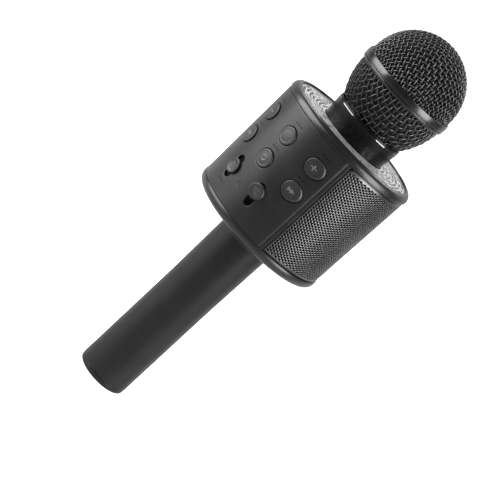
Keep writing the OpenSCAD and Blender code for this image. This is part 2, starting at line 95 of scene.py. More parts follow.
# ---- heights and radii that several pieces share, in mm ----
DRUM_Z = low("bottom_cap")[2]
DRUM_TOP_Z = high("top_cap")[2]
SEAM_LOW = high("bottom_cap")[2]
SEAM_HIGH = low("top_cap")[2]
BOTTOM_R = high("bottom_cap")[0]
TOP_R = high("top_cap")[0]
PANEL_LOW = low("front_panel")[2]
PANEL_HIGH = high("front_panel")[2]
PLATE_LOW, PLATE_HIGH = low("top_plate")[2], high("top_plate")[2]
PLATE_R = high("top_plate")[0]
NECK_R, NECK_TOP_Z = high("neck_collar")[0], high("neck_collar")[2]
NECK_FOOT_R = 19.4
BAND_LOW, BAND_HIGH, BAND_R = low("head_band")[2], high("head_band")[2], high("head_band")[0]
HEAD_R, HEAD_TOP = high("upper_mesh")[0], high("upper_mesh")[2]
DOME_Z = HEAD_TOP - HEAD_R
BOWL_LOW = low("lower_mesh")[2]
BOWL_OFFSET = 11                # the bowl is an arc centred this far beyond the axis
BOWL_Z = 212.1
PANEL_T = 2
GRILLE_RECESS = 0.5
GRILLE_T = 0.8
SCREW_CIRCLE = 26
WIRE_INSET = 0.62               # the wires' middle surface lies this far inside the head's outside
PANEL_HALF = np.radians(47)     # half the angle that a panel spans
GROOVE_ANGLE = np.radians(44.4)
GROOVE_HALF = np.radians(0.3)   # half the groove's width
GROOVE_DEEP = 0.35
ANGLE_R = 40                    # radius at which the lattice of a panel turns millimetres into angles
CAMERA_TARGET_Z = 0.13          # metres: the drum's middle
CAMERA_OFF = (-0.9265, -1.2844)     # degrees that the camera aims to the right of and above that middle
LIGHTS = (                      # name, azimuth, distance, height, width, tallness and watts
    ("left_softbox", -44, 0.75, 0.42, 0.76, 0.85, 15),
    ("right_softbox", 98, 0.75, 0.42, 0.48, 0.85, 12),
    ("top_softbox", 214, 0.9, 1.1, 1.2, 0.6, 9),
)


def wall_radius(z):
    """Radius of the drum's wall at height z: a cone between the two seams."""
    return BOTTOM_R + (TOP_R - BOTTOM_R) * (z - PANEL_LOW) / (PANEL_HIGH - PANEL_LOW)


# ---- shapes ----
def circle(n):
    """n equal angles of a full turn."""
    return np.linspace(0, 2 * np.pi, n, endpoint=False)


def wrapped(angle):
    """The same angle between -pi and pi."""
    return np.mod(angle + np.pi, 2 * np.pi) - np.pi


def edge_fall(edge, distance):
    """How far a face has fallen at a distance from its rim, where a quarter round of radius edge ends it."""
    near = np.clip(edge - distance, 0, edge)
    return edge - np.sqrt(edge**2 - near**2)


def turned(r, a, z):
    """Points at radius r, angle a from -Y towards +X, and height z."""
    return np.stack(np.broadcast_arrays(r * np.sin(a), -r * np.cos(a), z), -1)


def outline(*corners, steps=6):
    """Closed outline in (radius, z). Each corner is (radius, z, rounding) and becomes an exact arc: a rational
    quadratic curve whose middle weight is the sine of half the corner's angle. A point just past each end of the
    arc keeps smooth shading from spreading the rounding over the face beside it."""
    table = np.array(corners, float)
    point, rounding = table[:, :2], table[:, 2]
    back, ahead = np.roll(point, 1, 0) - point, np.roll(point, -1, 0) - point
    back_l, ahead_l = np.linalg.norm(back, axis=1), np.linalg.norm(ahead, axis=1)
    back, ahead = back / back_l[:, None], ahead / ahead_l[:, None]
    half = np.arccos(np.clip((back * ahead).sum(1), -1, 1)) / 2
    reach = np.minimum(rounding / np.tan(half), 0.98 * np.minimum(back_l, ahead_l))[:, None]
    start, end = (point + back * reach)[:, None], (point + ahead * reach)[:, None]
    s = np.linspace(0, 1, steps)[None, :, None]
    weight = 2 * s * (1 - s) * np.sin(half)[:, None, None]
    arcs = ((1 - s) ** 2 * start + weight * point[:, None] + s**2 * end) / ((1 - s) ** 2 + weight + s**2)
    taken = reach[:, 0]
    spare_back = np.clip(0.45 * (back_l - taken - np.roll(taken, 1)), 0, HOLD)[:, None]
    spare_ahead = np.clip(0.45 * (ahead_l - taken - np.roll(taken, -1)), 0, HOLD)[:, None]
    before, after = start[:, 0] + back * spare_back, end[:, 0] + ahead * spare_ahead
    flat = np.concatenate([before[:, None], arcs, after[:, None]], 1).reshape(-1, 2)
    return flat[np.linalg.norm(flat - np.roll(flat, 1, 0), axis=1) > 1e-4]


def divided(points, step):
    """The closed line with every stretch cut into equal parts no longer than step."""
    parts = []
    for a, b in zip(points, np.roll(points, -1, 0)):
        n = max(1, int(np.ceil(np.linalg.norm(b - a) / step)))
        parts.append(a + (b - a) * (np.arange(n) / n)[:, None])
    return np.concatenate(parts)


def spread(breaks, step):
    """Lattice lines through every break, no further apart than step."""
    parts = [np.linspace(a, b, max(1, int(round((b - a) / step))) + 1)[:-1] for a, b in zip(breaks, breaks[1:])]
    return np.append(np.concatenate(parts), breaks[-1])


def grid_quads(rows, cols, rows_close=False, cols_close=False):
    """Quads of a lattice whose points are numbered row by row."""
    i, j = np.meshgrid(
        np.arange(rows if rows_close else rows - 1), np.arange(cols if cols_close else cols - 1), indexing="ij"
    )
    i2, j2 = (i + 1) % rows, (j + 1) % cols
    return np.stack([i * cols + j, i2 * cols + j, i2 * cols + j2, i * cols + j2], -1).reshape(-1, 4)


def outward(points, quads):
    """Turns the whole shell over if its signed volume is negative."""
    a, b, c, d = points[quads].transpose(1, 0, 2)
    volume = (a * np.cross(b, c)).sum() + (a * np.cross(c, d)).sum()
    return quads if volume > 0 else quads[:, ::-1]


def shell(points, quads, mark=None):
    """One closed surface: its points, its quads facing outwards and a number from 0 to 1 on each point."""
    points = np.asarray(points, float).reshape(-1, 3)
    return points, outward(points, quads), np.zeros(len(points)) if mark is None else np.asarray(mark, float).ravel()


def joined(shells):
    """Several closed surfaces as one."""
    starts = np.cumsum([0] + [len(s[0]) for s in shells[:-1]])
    return tuple(
        np.concatenate(part)
        for part in ([s[0] for s in shells], [s[1] + n for s, n in zip(shells, starts)], [s[2] for s in shells])
    )


def lathe(profile, turns=224, thread=None):
    """Outline carried round +Z: x = radius sin a, y = -radius cos a. thread(profile, a) may add to the radius."""
    a = circle(turns)[:, None]
    r = profile[None, :, 0] + (0 * a if thread is None else thread(profile, a))
    return shell(turned(r, a, profile[:, 1]), grid_quads(turns, len(profile), True, True))


def stacked_rings(rings, mark=None):
    """Rings of equally many points, each joined to the next. The first and the last are one repeated point."""
    rows, cols = rings.shape[:2]
    return shell(rings, grid_quads(rows, cols, False, True), mark)


def block_rim(m, n):
    """Lattice steps once round a block of m by n cells, anticlockwise."""
    across, up = np.arange(m), np.arange(n)
    return (
        np.concatenate([across, np.full(n, m), m - across, np.zeros(n, int)]),
        np.concatenate([np.zeros(m, int), up, np.full(m, n), n - up]),
    )


def pierced(us, vs, openings, to_plane, from_plane, front, back, closes=False):
    """Closed plate with openings, over a lattice in (u, v).

    Each opening takes the place of a block of cells. Its rings run from the block's rim inwards. A ring point is
    found on the opening's own plane: the rim point's nearest point on the opening's core rectangle, moved away
    from it by the opening's rounding plus the ring's offset. A ring's depth sinks it below the face. The back is
    the same net again, and edges that only one quad uses are joined front to back."""
    nu, nv = len(us), len(vs)
    grid_u, grid_v = np.meshgrid(us, vs, indexing="ij")
    u, v, depth = grid_u.ravel(), grid_v.ravel(), np.zeros(nu * nv)
    shown = np.ones((nu if closes else nu - 1, nv - 1), bool)
    face_pts, back_pts, quads, count = [front(u, v, depth)], [back(u, v)], [], nu * nv
    for hole in openings:
        i, j, (m, n) = np.atleast_1d(hole["i"]), np.atleast_1d(hole["j"]), hole["cells"]
        for a in range(m):
            for b in range(n):
                shown[(i + a) % nu, j + b] = False
        di, dj = block_rim(m, n)
        rim_i, rim_j = (i[:, None] + di) % nu, j[:, None] + dj
        rim_u, rim_v = us[rim_i], vs[rim_j]
        p, q = to_plane(rim_u, rim_v, hole)
        core_p, core_q = np.clip(p, -hole["half"][0], hole["half"][0]), np.clip(q, -hole["half"][1], hole["half"][1])
        away = np.hypot(p - core_p, q - core_q)
        away_p, away_q = (p - core_p) / away, (q - core_q) / away
        last = rim_i * nv + rim_j
        for share, offset, sunk in hole["rings"]:
            radius = hole["round"] + offset
            pos = []
            for level in (sunk, None):
                hu, hv = from_plane(core_p + radius * away_p, core_q + radius * away_q, hole, level)
                turn = wrapped(rim_u - hu)
                pos.append((hu + turn * (1 - share), rim_v + (hv - rim_v) * share))
            face_pts.append(front(pos[0][0].ravel(), pos[0][1].ravel(), np.full(last.size, sunk)))
            back_pts.append(back(pos[1][0].ravel(), pos[1][1].ravel()))
            ring = count + np.arange(last.size).reshape(last.shape)
            quads.append(np.stack([last, np.roll(last, -1, 1), np.roll(ring, -1, 1), ring], -1).reshape(-1, 4))
            count += last.size
            last = ring
    quads.append(grid_quads(nu, nv, closes)[shown.ravel()])
    quads = np.concatenate(quads)
    edges = np.stack([quads, np.roll(quads, -1, 1)], -1).reshape(-1, 2)
    once = edges[~np.isin(edges[:, 0] * count + edges[:, 1], edges[:, 1] * count + edges[:, 0])]
    rim = np.stack([once[:, 1], once[:, 0], once[:, 0] + count, once[:, 1] + count], -1)
    quads = np.concatenate([quads, quads[:, ::-1] + count, rim])
    return shell(np.concatenate(face_pts + back_pts), quads)


def rounded_rings(edge, steps=()):
    """Rings from a block's rim to an opening: a few on the way, then a quarter-round edge, then further steps."""
    way = [(share, edge, 0.0) for share in (0.35, 0.7)]
    return way + [(1, edge + HOLD, 0), (1, edge, 0), (1, edge * 0.293, edge * 0.293), (1, 0, edge)] + list(steps)


# ---- putting a shape into the scene ----
def make_piece(name, body, nodes, shape, crease=38, slot=None, skin=None):
    """Welds the shape, puts it in a mesh in metres, and says what it rides on, stands for and is finished like.
    skin names a finish other than its slot's own."""
    points, quads, mark = shape
    steps = np.round(points / WELD).astype(np.int64)
    _, first, back = np.unique(steps, axis=0, return_index=True, return_inverse=True)
    corner = back.reshape(-1)[quads]
    same = corner == np.roll(corner, -1, 1)
    whole = corner[same.sum(1) == 0]
    thin, thin_same = corner[same.sum(1) == 1], same[same.sum(1) == 1]
    kept = (thin_same.argmax(1)[:, None] + np.array([1, 2, 3])) % 4
    thin = np.take_along_axis(thin, kept, 1)
    mesh = bpy.data.meshes.new(name)
    mesh.from_pydata((points[first] * MM).tolist(), [], whole.tolist() + thin.tolist())
    mesh.attributes.new("mark", "FLOAT", "POINT").data.foreach_set("value", mark[first].astype(np.float32))
    mesh.shade_smooth()
    mesh.set_sharp_from_angle(angle=np.radians(crease))
    slot = slot or SLOT_OF[nodes[0]]
    mesh.materials.append(finish(skin or slot))
    piece = bpy.data.objects.new(name, mesh)
    bpy.context.scene.collection.objects.link(piece)
    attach(piece, body)
    if nodes:
        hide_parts(*nodes)
    return piece


# ---- shader groups ----
def new_group(name, inputs, outputs):
    """An empty shader group with its named sockets, and its two end nodes."""
    group = bpy.data.node_groups.new(name, "ShaderNodeTree")
    for label, kind, value in inputs:
        sock = group.interface.new_socket(name=label, in_out="INPUT", socket_type=kind)
        sock.default_value = value
    for label, kind in outputs:
        group.interface.new_socket(name=label, in_out="OUTPUT", socket_type=kind)
    return group, group.nodes.new("NodeGroupInput"), group.nodes.new("NodeGroupOutput")


def node(tree, kind, links=(), **values):
    """Adds a node. links pairs one of its sockets with the socket that feeds it; values set its properties."""
    made = tree.nodes.new(kind)
    for key, value in values.items():
        setattr(made, key, value)
    for sock, source in links:
        if isinstance(source, (int, float, tuple)):
            made.inputs[sock].default_value = source
        else:
            tree.links.new(source, made.inputs[sock])
    return made


def coordinates(tree):
    """The piece's own coordinates."""
    return node(tree, "ShaderNodeTexCoord").outputs["Object"]


def noise(tree, scale, detail=3.0, roughness=0.55):
    """Noise over the piece's own coordinates."""
    links = [("Vector", coordinates(tree)), ("Scale", scale), ("Detail", detail), ("Roughness", roughness)]
    return node(tree, "ShaderNodeTexNoise", links).outputs["Fac"]


def remap(tree, value, start, end, to_start=0.0, to_end=1.0):
    """Carries a range of values to another, held at both ends."""
    return node(
        tree, "ShaderNodeMapRange",
        [("Value", value), ("From Min", start), ("From Max", end), ("To Min", to_start), ("To Max", to_end)],
        clamp=True,
    ).outputs["Result"]


def maths(tree, operation, a, b=0.0, c=0.0):
    return node(tree, "ShaderNodeMath", [(0, a), (1, b), (2, c)], operation=operation).outputs[0]


def mixed(tree, share, a, b):
    """Colour a turning into colour b by share."""
    return node(tree, "ShaderNodeMix", [(0, share), (6, a), (7, b)], data_type="RGBA").outputs[2]


def tone_group():
    """Tone: two colours clouded into each other, with a finer fleck in both."""
    group, start, end = new_group(
        "Tone",
        [("Colour", "NodeSocketColor", (0.1, 0.1, 0.1, 1)), ("Second colour", "NodeSocketColor", (0.2, 0.2, 0.2, 1)),
         ("Cloud size", "NodeSocketFloat", 60.0), ("Fleck size", "NodeSocketFloat", 1500.0)],
        [("Colour", "NodeSocketColor")],
    )
    cloud = remap(group, noise(group, start.outputs["Cloud size"], 4), 0.35, 0.65)
    fleck = remap(group, noise(group, start.outputs["Fleck size"], 2), 0.4, 0.7, 0, 0.5)
    share = maths(group, "ADD", maths(group, "MULTIPLY", cloud, 0.6), fleck)
    group.links.new(mixed(group, share, start.outputs["Colour"], start.outputs["Second colour"]), end.inputs[0])
    return group


def grain_group():
    """Grain: height of a fine moulded or painted texture, and a roughness that drifts between two values."""
    group, start, end = new_group(
        "Grain",
        [("Size", "NodeSocketFloat", 1800.0), ("Low roughness", "NodeSocketFloat", 0.3),
         ("High roughness", "NodeSocketFloat", 0.45)],
        [("Height", "NodeSocketFloat"), ("Roughness", "NodeSocketFloat")],
    )
    fine = noise(group, start.outputs["Size"], 4, 0.6)
    coarse = noise(group, maths(group, "MULTIPLY", start.outputs["Size"], 0.25), 2)
    group.links.new(maths(group, "ADD", fine, maths(group, "MULTIPLY", coarse, 0.6)), end.inputs["Height"])
    drift = remap(group, noise(group, 75.0, 4), 0.3, 0.7)
    span = maths(group, "SUBTRACT", start.outputs["High roughness"], start.outputs["Low roughness"])
    group.links.new(
        maths(group, "MULTIPLY_ADD", drift, span, start.outputs["Low roughness"]), end.inputs["Roughness"]
    )
    return group


def wear_group():
    """Edge wear: a broken line along the piece's proud edges, from how pointed the surface is there."""
    group, start, end = new_group(
        "Edge wear",
        [("Amount", "NodeSocketFloat", 0.3), ("Size", "NodeSocketFloat", 700.0)],
        [("Mask", "NodeSocketFloat")],
    )
    edge = remap(group, node(group, "ShaderNodeNewGeometry").outputs["Pointiness"], 0.515, 0.57)
    patchy = remap(group, noise(group, start.outputs["Size"], 5), 0.38, 0.62)
    both = maths(group, "MULTIPLY", edge, patchy)
    group.links.new(maths(group, "MULTIPLY", both, start.outputs["Amount"]), end.inputs[0])
    return group


def dust_group():
    """Dust: a pale film in clouds and specks."""
    group, start, end = new_group("Dust", [("Amount", "NodeSocketFloat", 0.1)], [("Mask", "NodeSocketFloat")])
    film = remap(group, noise(group, 120.0, 6, 0.65), 0.45, 0.8)
    speck = remap(group, noise(group, 2600.0, 1), 0.7, 0.78, 0, 0.8)
    group.links.new(
        maths(group, "MULTIPLY", maths(group, "ADD", film, speck), start.outputs["Amount"]), end.inputs[0]
    )
    return group


GROUPS = {"tone": ("Tone", tone_group), "grain": ("Grain", grain_group), "wear": ("Edge wear", wear_group),
          "dust": ("Dust", dust_group)}


def placed(tree, key, **values):
    """Puts a shared group in a material with its own values."""
    title, build = GROUPS[key]
    made = tree.nodes.new("ShaderNodeGroup")
    made.node_tree = bpy.data.node_groups.get(title) or build()
    for label, value in values.items():
        made.inputs[label.replace("_", " ")].default_value = value
    return made


def look(colours, rough, grain, **differs):
    """A finish: two colours, range of roughness, size and depth in mm of its grain, then what differs."""
    return dict(colours=colours, rough=rough, grain=grain, **differs)


FINISHES = {
    "case_plastic": look((0.005, 0.010), (0.29, 0.38), (1500, 0.02), wear=0.3, gloss=0.48),
    "cap_plastic": look((0.006, 0.011), (0.26, 0.34), (1500, 0.015), wear=0.3, gloss=0.52),
    "handle_skin": look((0.004, 0.008), (0.34, 0.44), (1500, 0.025), wear=0.2, dust=0.004,
                        gloss=0.3),
    "button_plastic": look((0.014, 0.028), (0.3, 0.4), (1800, 0.015), wear=0.4, mark=0.11,
                           gloss=0.45),
    # grille and wire: their mark colour is painted shade, put in the grille's folded border and hole walls and where a
    # wire dips under
    "grille_metal": look((0.085, 0.14), (0.22, 0.32), (1600, 0.01), metallic=0.9, mark=0.002),
    "mesh_wire": look((0.06, 0.12), (0.22, 0.34), (2200, 0.01), metallic=0.7, mark=0.002),
    "band_metal": look((0.045, 0.072), (0.2, 0.3), (900, 0.006), wear=0.3, metallic=0.9),
    "plate_metal": look((0.6, 0.7), (0.26, 0.36), (1400, 0.004), wear=0.2, metallic=0.7,
                        mark=0.03, brushed=True),
    "neck_gloss": look((0.003, 0.006), (0.2, 0.26), (1200, 0.002), wear=0.2, gloss=0.17,
                       polished=True),
    "inner_plastic": look((0.004, 0.008), (0.5, 0.65), (1400, 0.03), dust=0.02),
    "circuit_board": look(((0.003, 0.006, 0.004), (0.005, 0.01, 0.007)), (0.5, 0.6), (900, 0.02),
                          traces=True),
    "board_parts": look((0.015, 0.03), (0.4, 0.55), (2000, 0.02)),
    "steel": look((0.45, 0.55), (0.25, 0.4), (1500, 0.01), wear=0.3, metallic=1.0),
    "basket_metal": look((0.02, 0.035), (0.4, 0.55), (1200, 0.02), wear=0.1, metallic=0.5),
    "magnet": look((0.05, 0.09), (0.4, 0.6), (1000, 0.03), metallic=0.6),
    "cone_paper": look((0.008, 0.02), (0.75, 0.9), (700, 0.08)),
    "rubber": look((0.012, 0.02), (0.55, 0.7), (1300, 0.03), dust=0.03),
    "lead_sheath": look(((0.25, 0.02, 0.02), (0.35, 0.03, 0.03)), (0.4, 0.5), (1500, 0.01)),
    "cell_wrap": look(((0.05, 0.12, 0.3), (0.06, 0.15, 0.36)), (0.25, 0.35), (1000, 0.01)),
    "light": look((0.02, 0.04), (0.15, 0.25), (1500, 0.01), glow=0.05),
    "capsule_brass": look(((0.5, 0.36, 0.16), (0.62, 0.45, 0.2)), (0.25, 0.4), (1400, 0.01),
                          metallic=1.0),
    "foam": look((0.003, 0.008), (0.9, 1.0), (900, 0.4), cells=True),
    "printed_mark": look((0.002, 0.004), (0.6, 0.7), (1800, 0.01), gloss=0.08),
}


def rgba(value):
    """A grey or a colour as red, green, blue and alpha."""
    return (*value, 1) if isinstance(value, (tuple, list)) else (value, value, value * 1.02, 1)


def finish(slot):
    """The material of a slot or skin. Its tone, grain, edge wear and dust come from the shared groups."""
    title = slot.replace("_", " ") + " finish"
    if title in bpy.data.materials:
        return bpy.data.materials[title]
    spec = FINISHES[slot]
    made = bpy.data.materials.new(title)
    made.use_nodes = True
    tree = made.node_tree
    surface = tree.nodes["Principled BSDF"]
    surface.inputs["Metallic"].default_value = spec.get("metallic", 0.0)
    surface.inputs["Coat Roughness"].default_value = 0.06
    surface.inputs["Coat IOR"].default_value = 1.9
    surface.inputs["Specular IOR Level"].default_value = spec.get("gloss", 0.5)
    dark, pale = (rgba(c) for c in spec["colours"])
    size, depth = spec["grain"]
    colour = placed(tree, "tone", Colour=dark, Second_colour=pale).outputs["Colour"]
    grain = placed(tree, "grain", Size=size, Low_roughness=spec["rough"][0], High_roughness=spec["rough"][1])
    rough, height = grain.outputs["Roughness"], grain.outputs["Height"]
    if spec.get("brushed"):             # rings of fine scratches round the axis
        place = node(tree, "ShaderNodeSeparateXYZ", [(0, coordinates(tree))])
        squares = [maths(tree, "POWER", maths(tree, "ABSOLUTE", place.outputs[k]), 2.0) for k in (0, 1)]
        radius = maths(tree, "SQRT", maths(tree, "ADD", *squares))
        line = node(tree, "ShaderNodeTexNoise", [("W", radius), ("Scale", 5000.0), ("Detail", 3.0)],
                    noise_dimensions="1D").outputs["Fac"]
        colour = mixed(tree, remap(tree, line, 0.3, 0.7, 0, 0.35), colour, (0.6, 0.6, 0.62, 1))
        height = maths(tree, "ADD", height, line)
    if spec.get("traces"):              # copper lines under the lacquer, in steps across the board
        links = [("Vector", coordinates(tree)), ("Scale", 180.0), ("Mortar Size", 0.06)]
        lanes = node(tree, "ShaderNodeTexBrick", links)
        colour = mixed(tree, maths(tree, "MULTIPLY", lanes.outputs["Fac"], 0.5), colour, (0.02, 0.05, 0.03, 1))
    if spec.get("cells"):               # open cells between thin walls; the cells' hollows are painted darker, as painted shade
        links = [("Vector", coordinates(tree)), ("Scale", float(size))]
        cell = node(tree, "ShaderNodeTexVoronoi", links).outputs["Distance"]
        height = maths(tree, "ADD", height, cell)
        colour = mixed(tree, remap(tree, cell, 0.2, 0.7), (0.003, 0.003, 0.003, 1), colour)
    if "mark" in spec:                  # marked points take the finish's mark colour: the buttons' raised signs come out lighter and the plate's sunk arcs darker; on the grille and the wires the mark colour is painted shade, darker in the grille's folded border and hole walls and where a wire dips under its neighbour
        mark = node(tree, "ShaderNodeAttribute", attribute_name="mark").outputs["Fac"]
        colour = mixed(tree, mark, colour, rgba(spec["mark"]))
    if spec.get("polished"):            # marked edges are lacquered
        lacquer = node(tree, "ShaderNodeAttribute", attribute_name="mark").outputs["Fac"]
        tree.links.new(lacquer, surface.inputs["Coat Weight"])
    if "wear" in spec:
        bright = tuple(min(1.0, c * 2.6 + 0.03) for c in pale[:3]) + (1,)
        colour = mixed(tree, placed(tree, "wear", Amount=spec["wear"]).outputs["Mask"], colour, bright)
    dusty = placed(tree, "dust", Amount=spec.get("dust", 0.005)).outputs["Mask"]
    colour = mixed(tree, dusty, colour, (0.3, 0.29, 0.28, 1))
    if "glow" in spec:
        tree.links.new(colour, surface.inputs["Emission Color"])
        surface.inputs["Emission Strength"].default_value = spec["glow"]
    bump = node(tree, "ShaderNodeBump", [("Height", height)])
    bump.inputs["Distance"].default_value = depth * MM
    bump.inputs["Strength"].default_value = 0.5
    tree.links.new(bump.outputs["Normal"], surface.inputs["Normal"])
    tree.links.new(colour, surface.inputs["Base Color"])
    tree.links.new(rough, surface.inputs["Roughness"])
    return made


# ---- what a user would change ----
class BodySettings(bpy.types.PropertyGroup):
    """Sizes of the handle and the drum."""
    edge: FloatProperty(name="Edge rounding", description="Rounding of the seams between the case's pieces",
                        default=0.00028, min=0.0001, max=0.0006, unit="LENGTH")
    grille_pitch: FloatProperty(name="Grille pitch", description="Distance between two holes of the grille",
                                default=0.0016, min=0.0012, max=0.003, unit="LENGTH")
    grille_hole: FloatProperty(name="Grille hole", description="Diameter of the grille's holes",
                               default=0.00114, min=0.0006, max=0.002, unit="LENGTH")


class HeadSettings(bpy.types.PropertyGroup):
    """Sizes of the woven head."""
    dome_pitch: FloatProperty(name="Dome weave pitch", description="Distance between two wires at the head's top",
                              default=0.0026, min=0.002, max=0.004, unit="LENGTH")
    bowl_pitch: FloatProperty(name="Bowl weave pitch", description="Distance between two wires of the lower mesh",
                              default=0.00255, min=0.002, max=0.004, unit="LENGTH")
    wire: FloatProperty(name="Wire radius", description="Radius of the woven wire",
                        default=0.00033, min=0.0002, max=0.0004, unit="LENGTH")
    weave_turn: FloatProperty(name="Weave direction", description="Turn of the weave about the axis",
                              default=float(np.radians(45)), subtype="ANGLE", unit="ROTATION")


class StageSettings(bpy.types.PropertyGroup):
    """Camera and lights."""
    azimuth: FloatProperty(name="Camera azimuth", description="Direction of the camera from the front, towards +X",
                           default=float(np.radians(33.7)), subtype="ANGLE", unit="ROTATION")
    elevation: FloatProperty(name="Camera elevation", description="Camera's angle above the horizon",
                             default=float(np.radians(12.2)), subtype="ANGLE", unit="ROTATION")
    roll: FloatProperty(name="Camera roll", description="Turn of the camera about its own axis",
                        default=float(np.radians(47.1)), subtype="ANGLE", unit="ROTATION")
    distance: FloatProperty(name="Camera distance", description="Distance from the camera to the middle of the drum",
                            default=1.0035, min=0.5, max=3, unit="LENGTH")
    lens: FloatProperty(name="Lens", description="Focal length of the camera", default=145.14, min=50, max=200,
                        unit="CAMERA")
    key_colour: FloatVectorProperty(name="Light colour", description="Colour of the soft lights", subtype="COLOR",
                                    default=(1.0, 0.995, 0.99), min=0, max=1)


class MicrophoneSettings(bpy.types.PropertyGroup):
    """Everything that can be changed."""
    body: PointerProperty(type=BodySettings)
    head: PointerProperty(type=HeadSettings)
    stage: PointerProperty(type=StageSettings)


# ---- the handle and the caps ----
class MIC_OT_handle(bpy.types.Operator):
    """Turned handle: grip tube, rounded end cap and the flared collar under the drum."""
    bl_idname = "mic.handle"
    bl_label = "Handle"

    def execute(self, context):
        edge = context.scene.microphone.body.edge / MM
        bottom, top = low("handle_tube")[2], high("handle_tube")[2]
        grip, wide, bore, grip_top = 14.4, high("handle_tube")[0], 12.6, 66
        tube = outline(
            (grip, bottom, edge), (grip, grip_top, 60), (wide, DRUM_Z, 30), (wide, top, 0.2),
            (bore, top, 0.2), (bore, bottom, 0.2),
        )
        make_piece("handle_grip", "housing", ["handle_tube"], lathe(divided(tube, 6)), skin="handle_skin")
        cap_r, cap_top, plug_top = high("handle_end_cap")[0], 3, high("handle_end_cap")[2]
        cap = np.concatenate([[[0, 0.45]], outline(
            (9.4, 0.45, 0.2), (9.9, 0, 0.25), (cap_r, 0, 1.4), (cap_r, cap_top, edge),
            (12.5, cap_top, 0.1), (12.5, plug_top, 0.5), (0.01, plug_top, 0),
        )[1:]])
        cap[-1, 0] = 0
        make_piece("handle_end", "housing", ["handle_end_cap"], lathe(cap), skin="handle_skin")
        foot, lip_r = low("handle_collar")[2], high("handle_collar")[0]
        sweep = np.linspace(0, np.pi / 2, 20)[:, None]
        inner, flare = 15.18, 6
        curve = np.array([[inner + 0.3 + flare, foot]]) + flare * np.concatenate([-np.cos(sweep), np.sin(sweep)], 1)
        curve = curve[curve[:, 0] < lip_r]
        collar_top = high("handle_collar")[2]
        lip = [[lip_r, curve[-1, 1] + 0.08], [lip_r, collar_top - 0.1], [lip_r - 0.1, collar_top],
               [inner, collar_top]]
        make_piece("handle_flare", "housing", ["handle_collar"],
                   lathe(np.concatenate([[[inner, foot]], curve, lip])))
        return {"FINISHED"}


class MIC_OT_caps(bpy.types.Operator):
    """Rounded caps of the drum: the lower one with four countersunk screw holes, the upper one with its rim."""
    bl_idname = "mic.caps"
    bl_label = "Drum caps"

    def execute(self, context):
        edge = context.scene.microphone.body.edge / MM
        hub, inner_wall, floor_z, round_r = 15.25, 36.2, DRUM_Z + 2.5, 3.6
        # v is the length along the cap's outside: a flat from the hub, a quarter round, then the wall
        flat_end = BOTTOM_R - round_r
        arc_l = round_r * np.pi / 2
        v_end = flat_end + arc_l + (SEAM_LOW - DRUM_Z - round_r)

        def front(u, v, depth):
            """Flat, quarter round and wall, in turn along v; depth moves inwards. The two ends are rounded over."""
            bend = np.clip((v - flat_end) / round_r, 0, np.pi / 2)
            r = np.minimum(v, flat_end) + (round_r - depth) * np.sin(bend)
            z = DRUM_Z + round_r - (round_r - depth) * np.cos(bend) + np.clip(v - flat_end - arc_l, 0, None)
            return turned(r - edge_fall(edge, v_end - v), u, z)

        def back(u, v):
            """Floor as far as the inner wall, then straight up to the seam."""
            share = (v - hub) / (v_end - hub)
            turn = (flat_end - hub) / (v_end - hub)
            r = np.minimum(hub + (inner_wall - hub) * share / turn, inner_wall)
            z = floor_z + np.clip((share - turn) / (1 - turn), 0, 1) * (SEAM_LOW - floor_z)
            return turned(r, u, z)

        def to_plane(u, v, hole):
            return v * np.sin(u - hole["at"][0]), v * np.cos(u - hole["at"][0]) - SCREW_CIRCLE

        def from_plane(p, q, hole, level):
            q = q + SCREW_CIRCLE
            return hole["at"][0] + np.arctan2(p, q), np.hypot(p, q)

        us = circle(192)
        vs = np.concatenate([spread([hub, 22, 30, flat_end], 1.2), flat_end + spread([0, arc_l], 0.5)[1:],
                             [v_end - edge, v_end - edge * 0.3, v_end]])
        first, last = int(np.searchsorted(vs, 22)), int(np.searchsorted(vs, 30))
        holes = [
            dict(i=24 * (2 * k + 1) - 8, j=first, cells=(16, last - first), half=(0, 0), round=2.6,
                 at=(us[24 * (2 * k + 1)], 0), rings=rounded_rings(0.2, [(1, 0, 1.3), (1, -1.15, 1.3)]))
            for k in range(4)
        ]
        make_piece("drum_floor", "housing", ["bottom_cap"],
                   pierced(us, vs, holes, to_plane, from_plane, front, back, closes=True), skin="cap_plastic")
        seat = PLATE_R + 0.1
        rim = outline(
            (19.5, SEAM_HIGH, 0.2), (TOP_R, SEAM_HIGH, edge), (TOP_R, DRUM_TOP_Z, 3.6), (seat, DRUM_TOP_Z, 0.08),
            (seat, PLATE_LOW, 0.05), (19.5, PLATE_LOW, 0.2), steps=14,
        )
        make_piece("drum_rim", "housing", ["top_cap"], lathe(rim, 256), skin="cap_plastic")
        return {"FINISHED"}


# ---- panels and grilles ----
def wall_shape(us, zs, holes, turn, recess, thickness, edge, grooves=(), along_y=True):
    """A stretch of the drum's wall about the direction turn, from -Y towards +X. u is the angle from its middle and
    v the height. Along its four sides the face is rounded over; a groove sinks it at an angle."""
    half = us[-1]

    def place(u, z, depth):
        r = wall_radius(z) - recess - depth
        return turned(r, u + turn, z)

    def front(u, z, depth):
        to_side = np.minimum((half - np.abs(u)) * wall_radius(z), np.minimum(z - zs[0], zs[-1] - z))
        sunk = edge_fall(edge, to_side)
        for where, wide, deep in grooves:
            sunk = np.maximum(sunk, deep * np.clip(1.6 - np.abs(np.abs(u) - where) / wide * 1.2, 0, 1))
        return place(u, z, np.maximum(depth, sunk))

    def to_plane(u, z, hole):
        centre_u, centre_z = hole["at"]
        across = wall_radius(z) * np.sin(u) - centre_u if along_y else (u - centre_u) * TOP_R
        return across, z - centre_z

    def from_plane(p, q, hole, level):
        centre_u, centre_z = hole["at"]
        z = centre_z + q
        r = wall_radius(z) - recess - (thickness if level is None else level)
        return (np.arcsin((centre_u + p) / r) if along_y else centre_u + p / TOP_R), z

    return pierced(us, zs, holes, to_plane, from_plane, front, lambda u, z: place(u, z, np.full_like(u, thickness)))


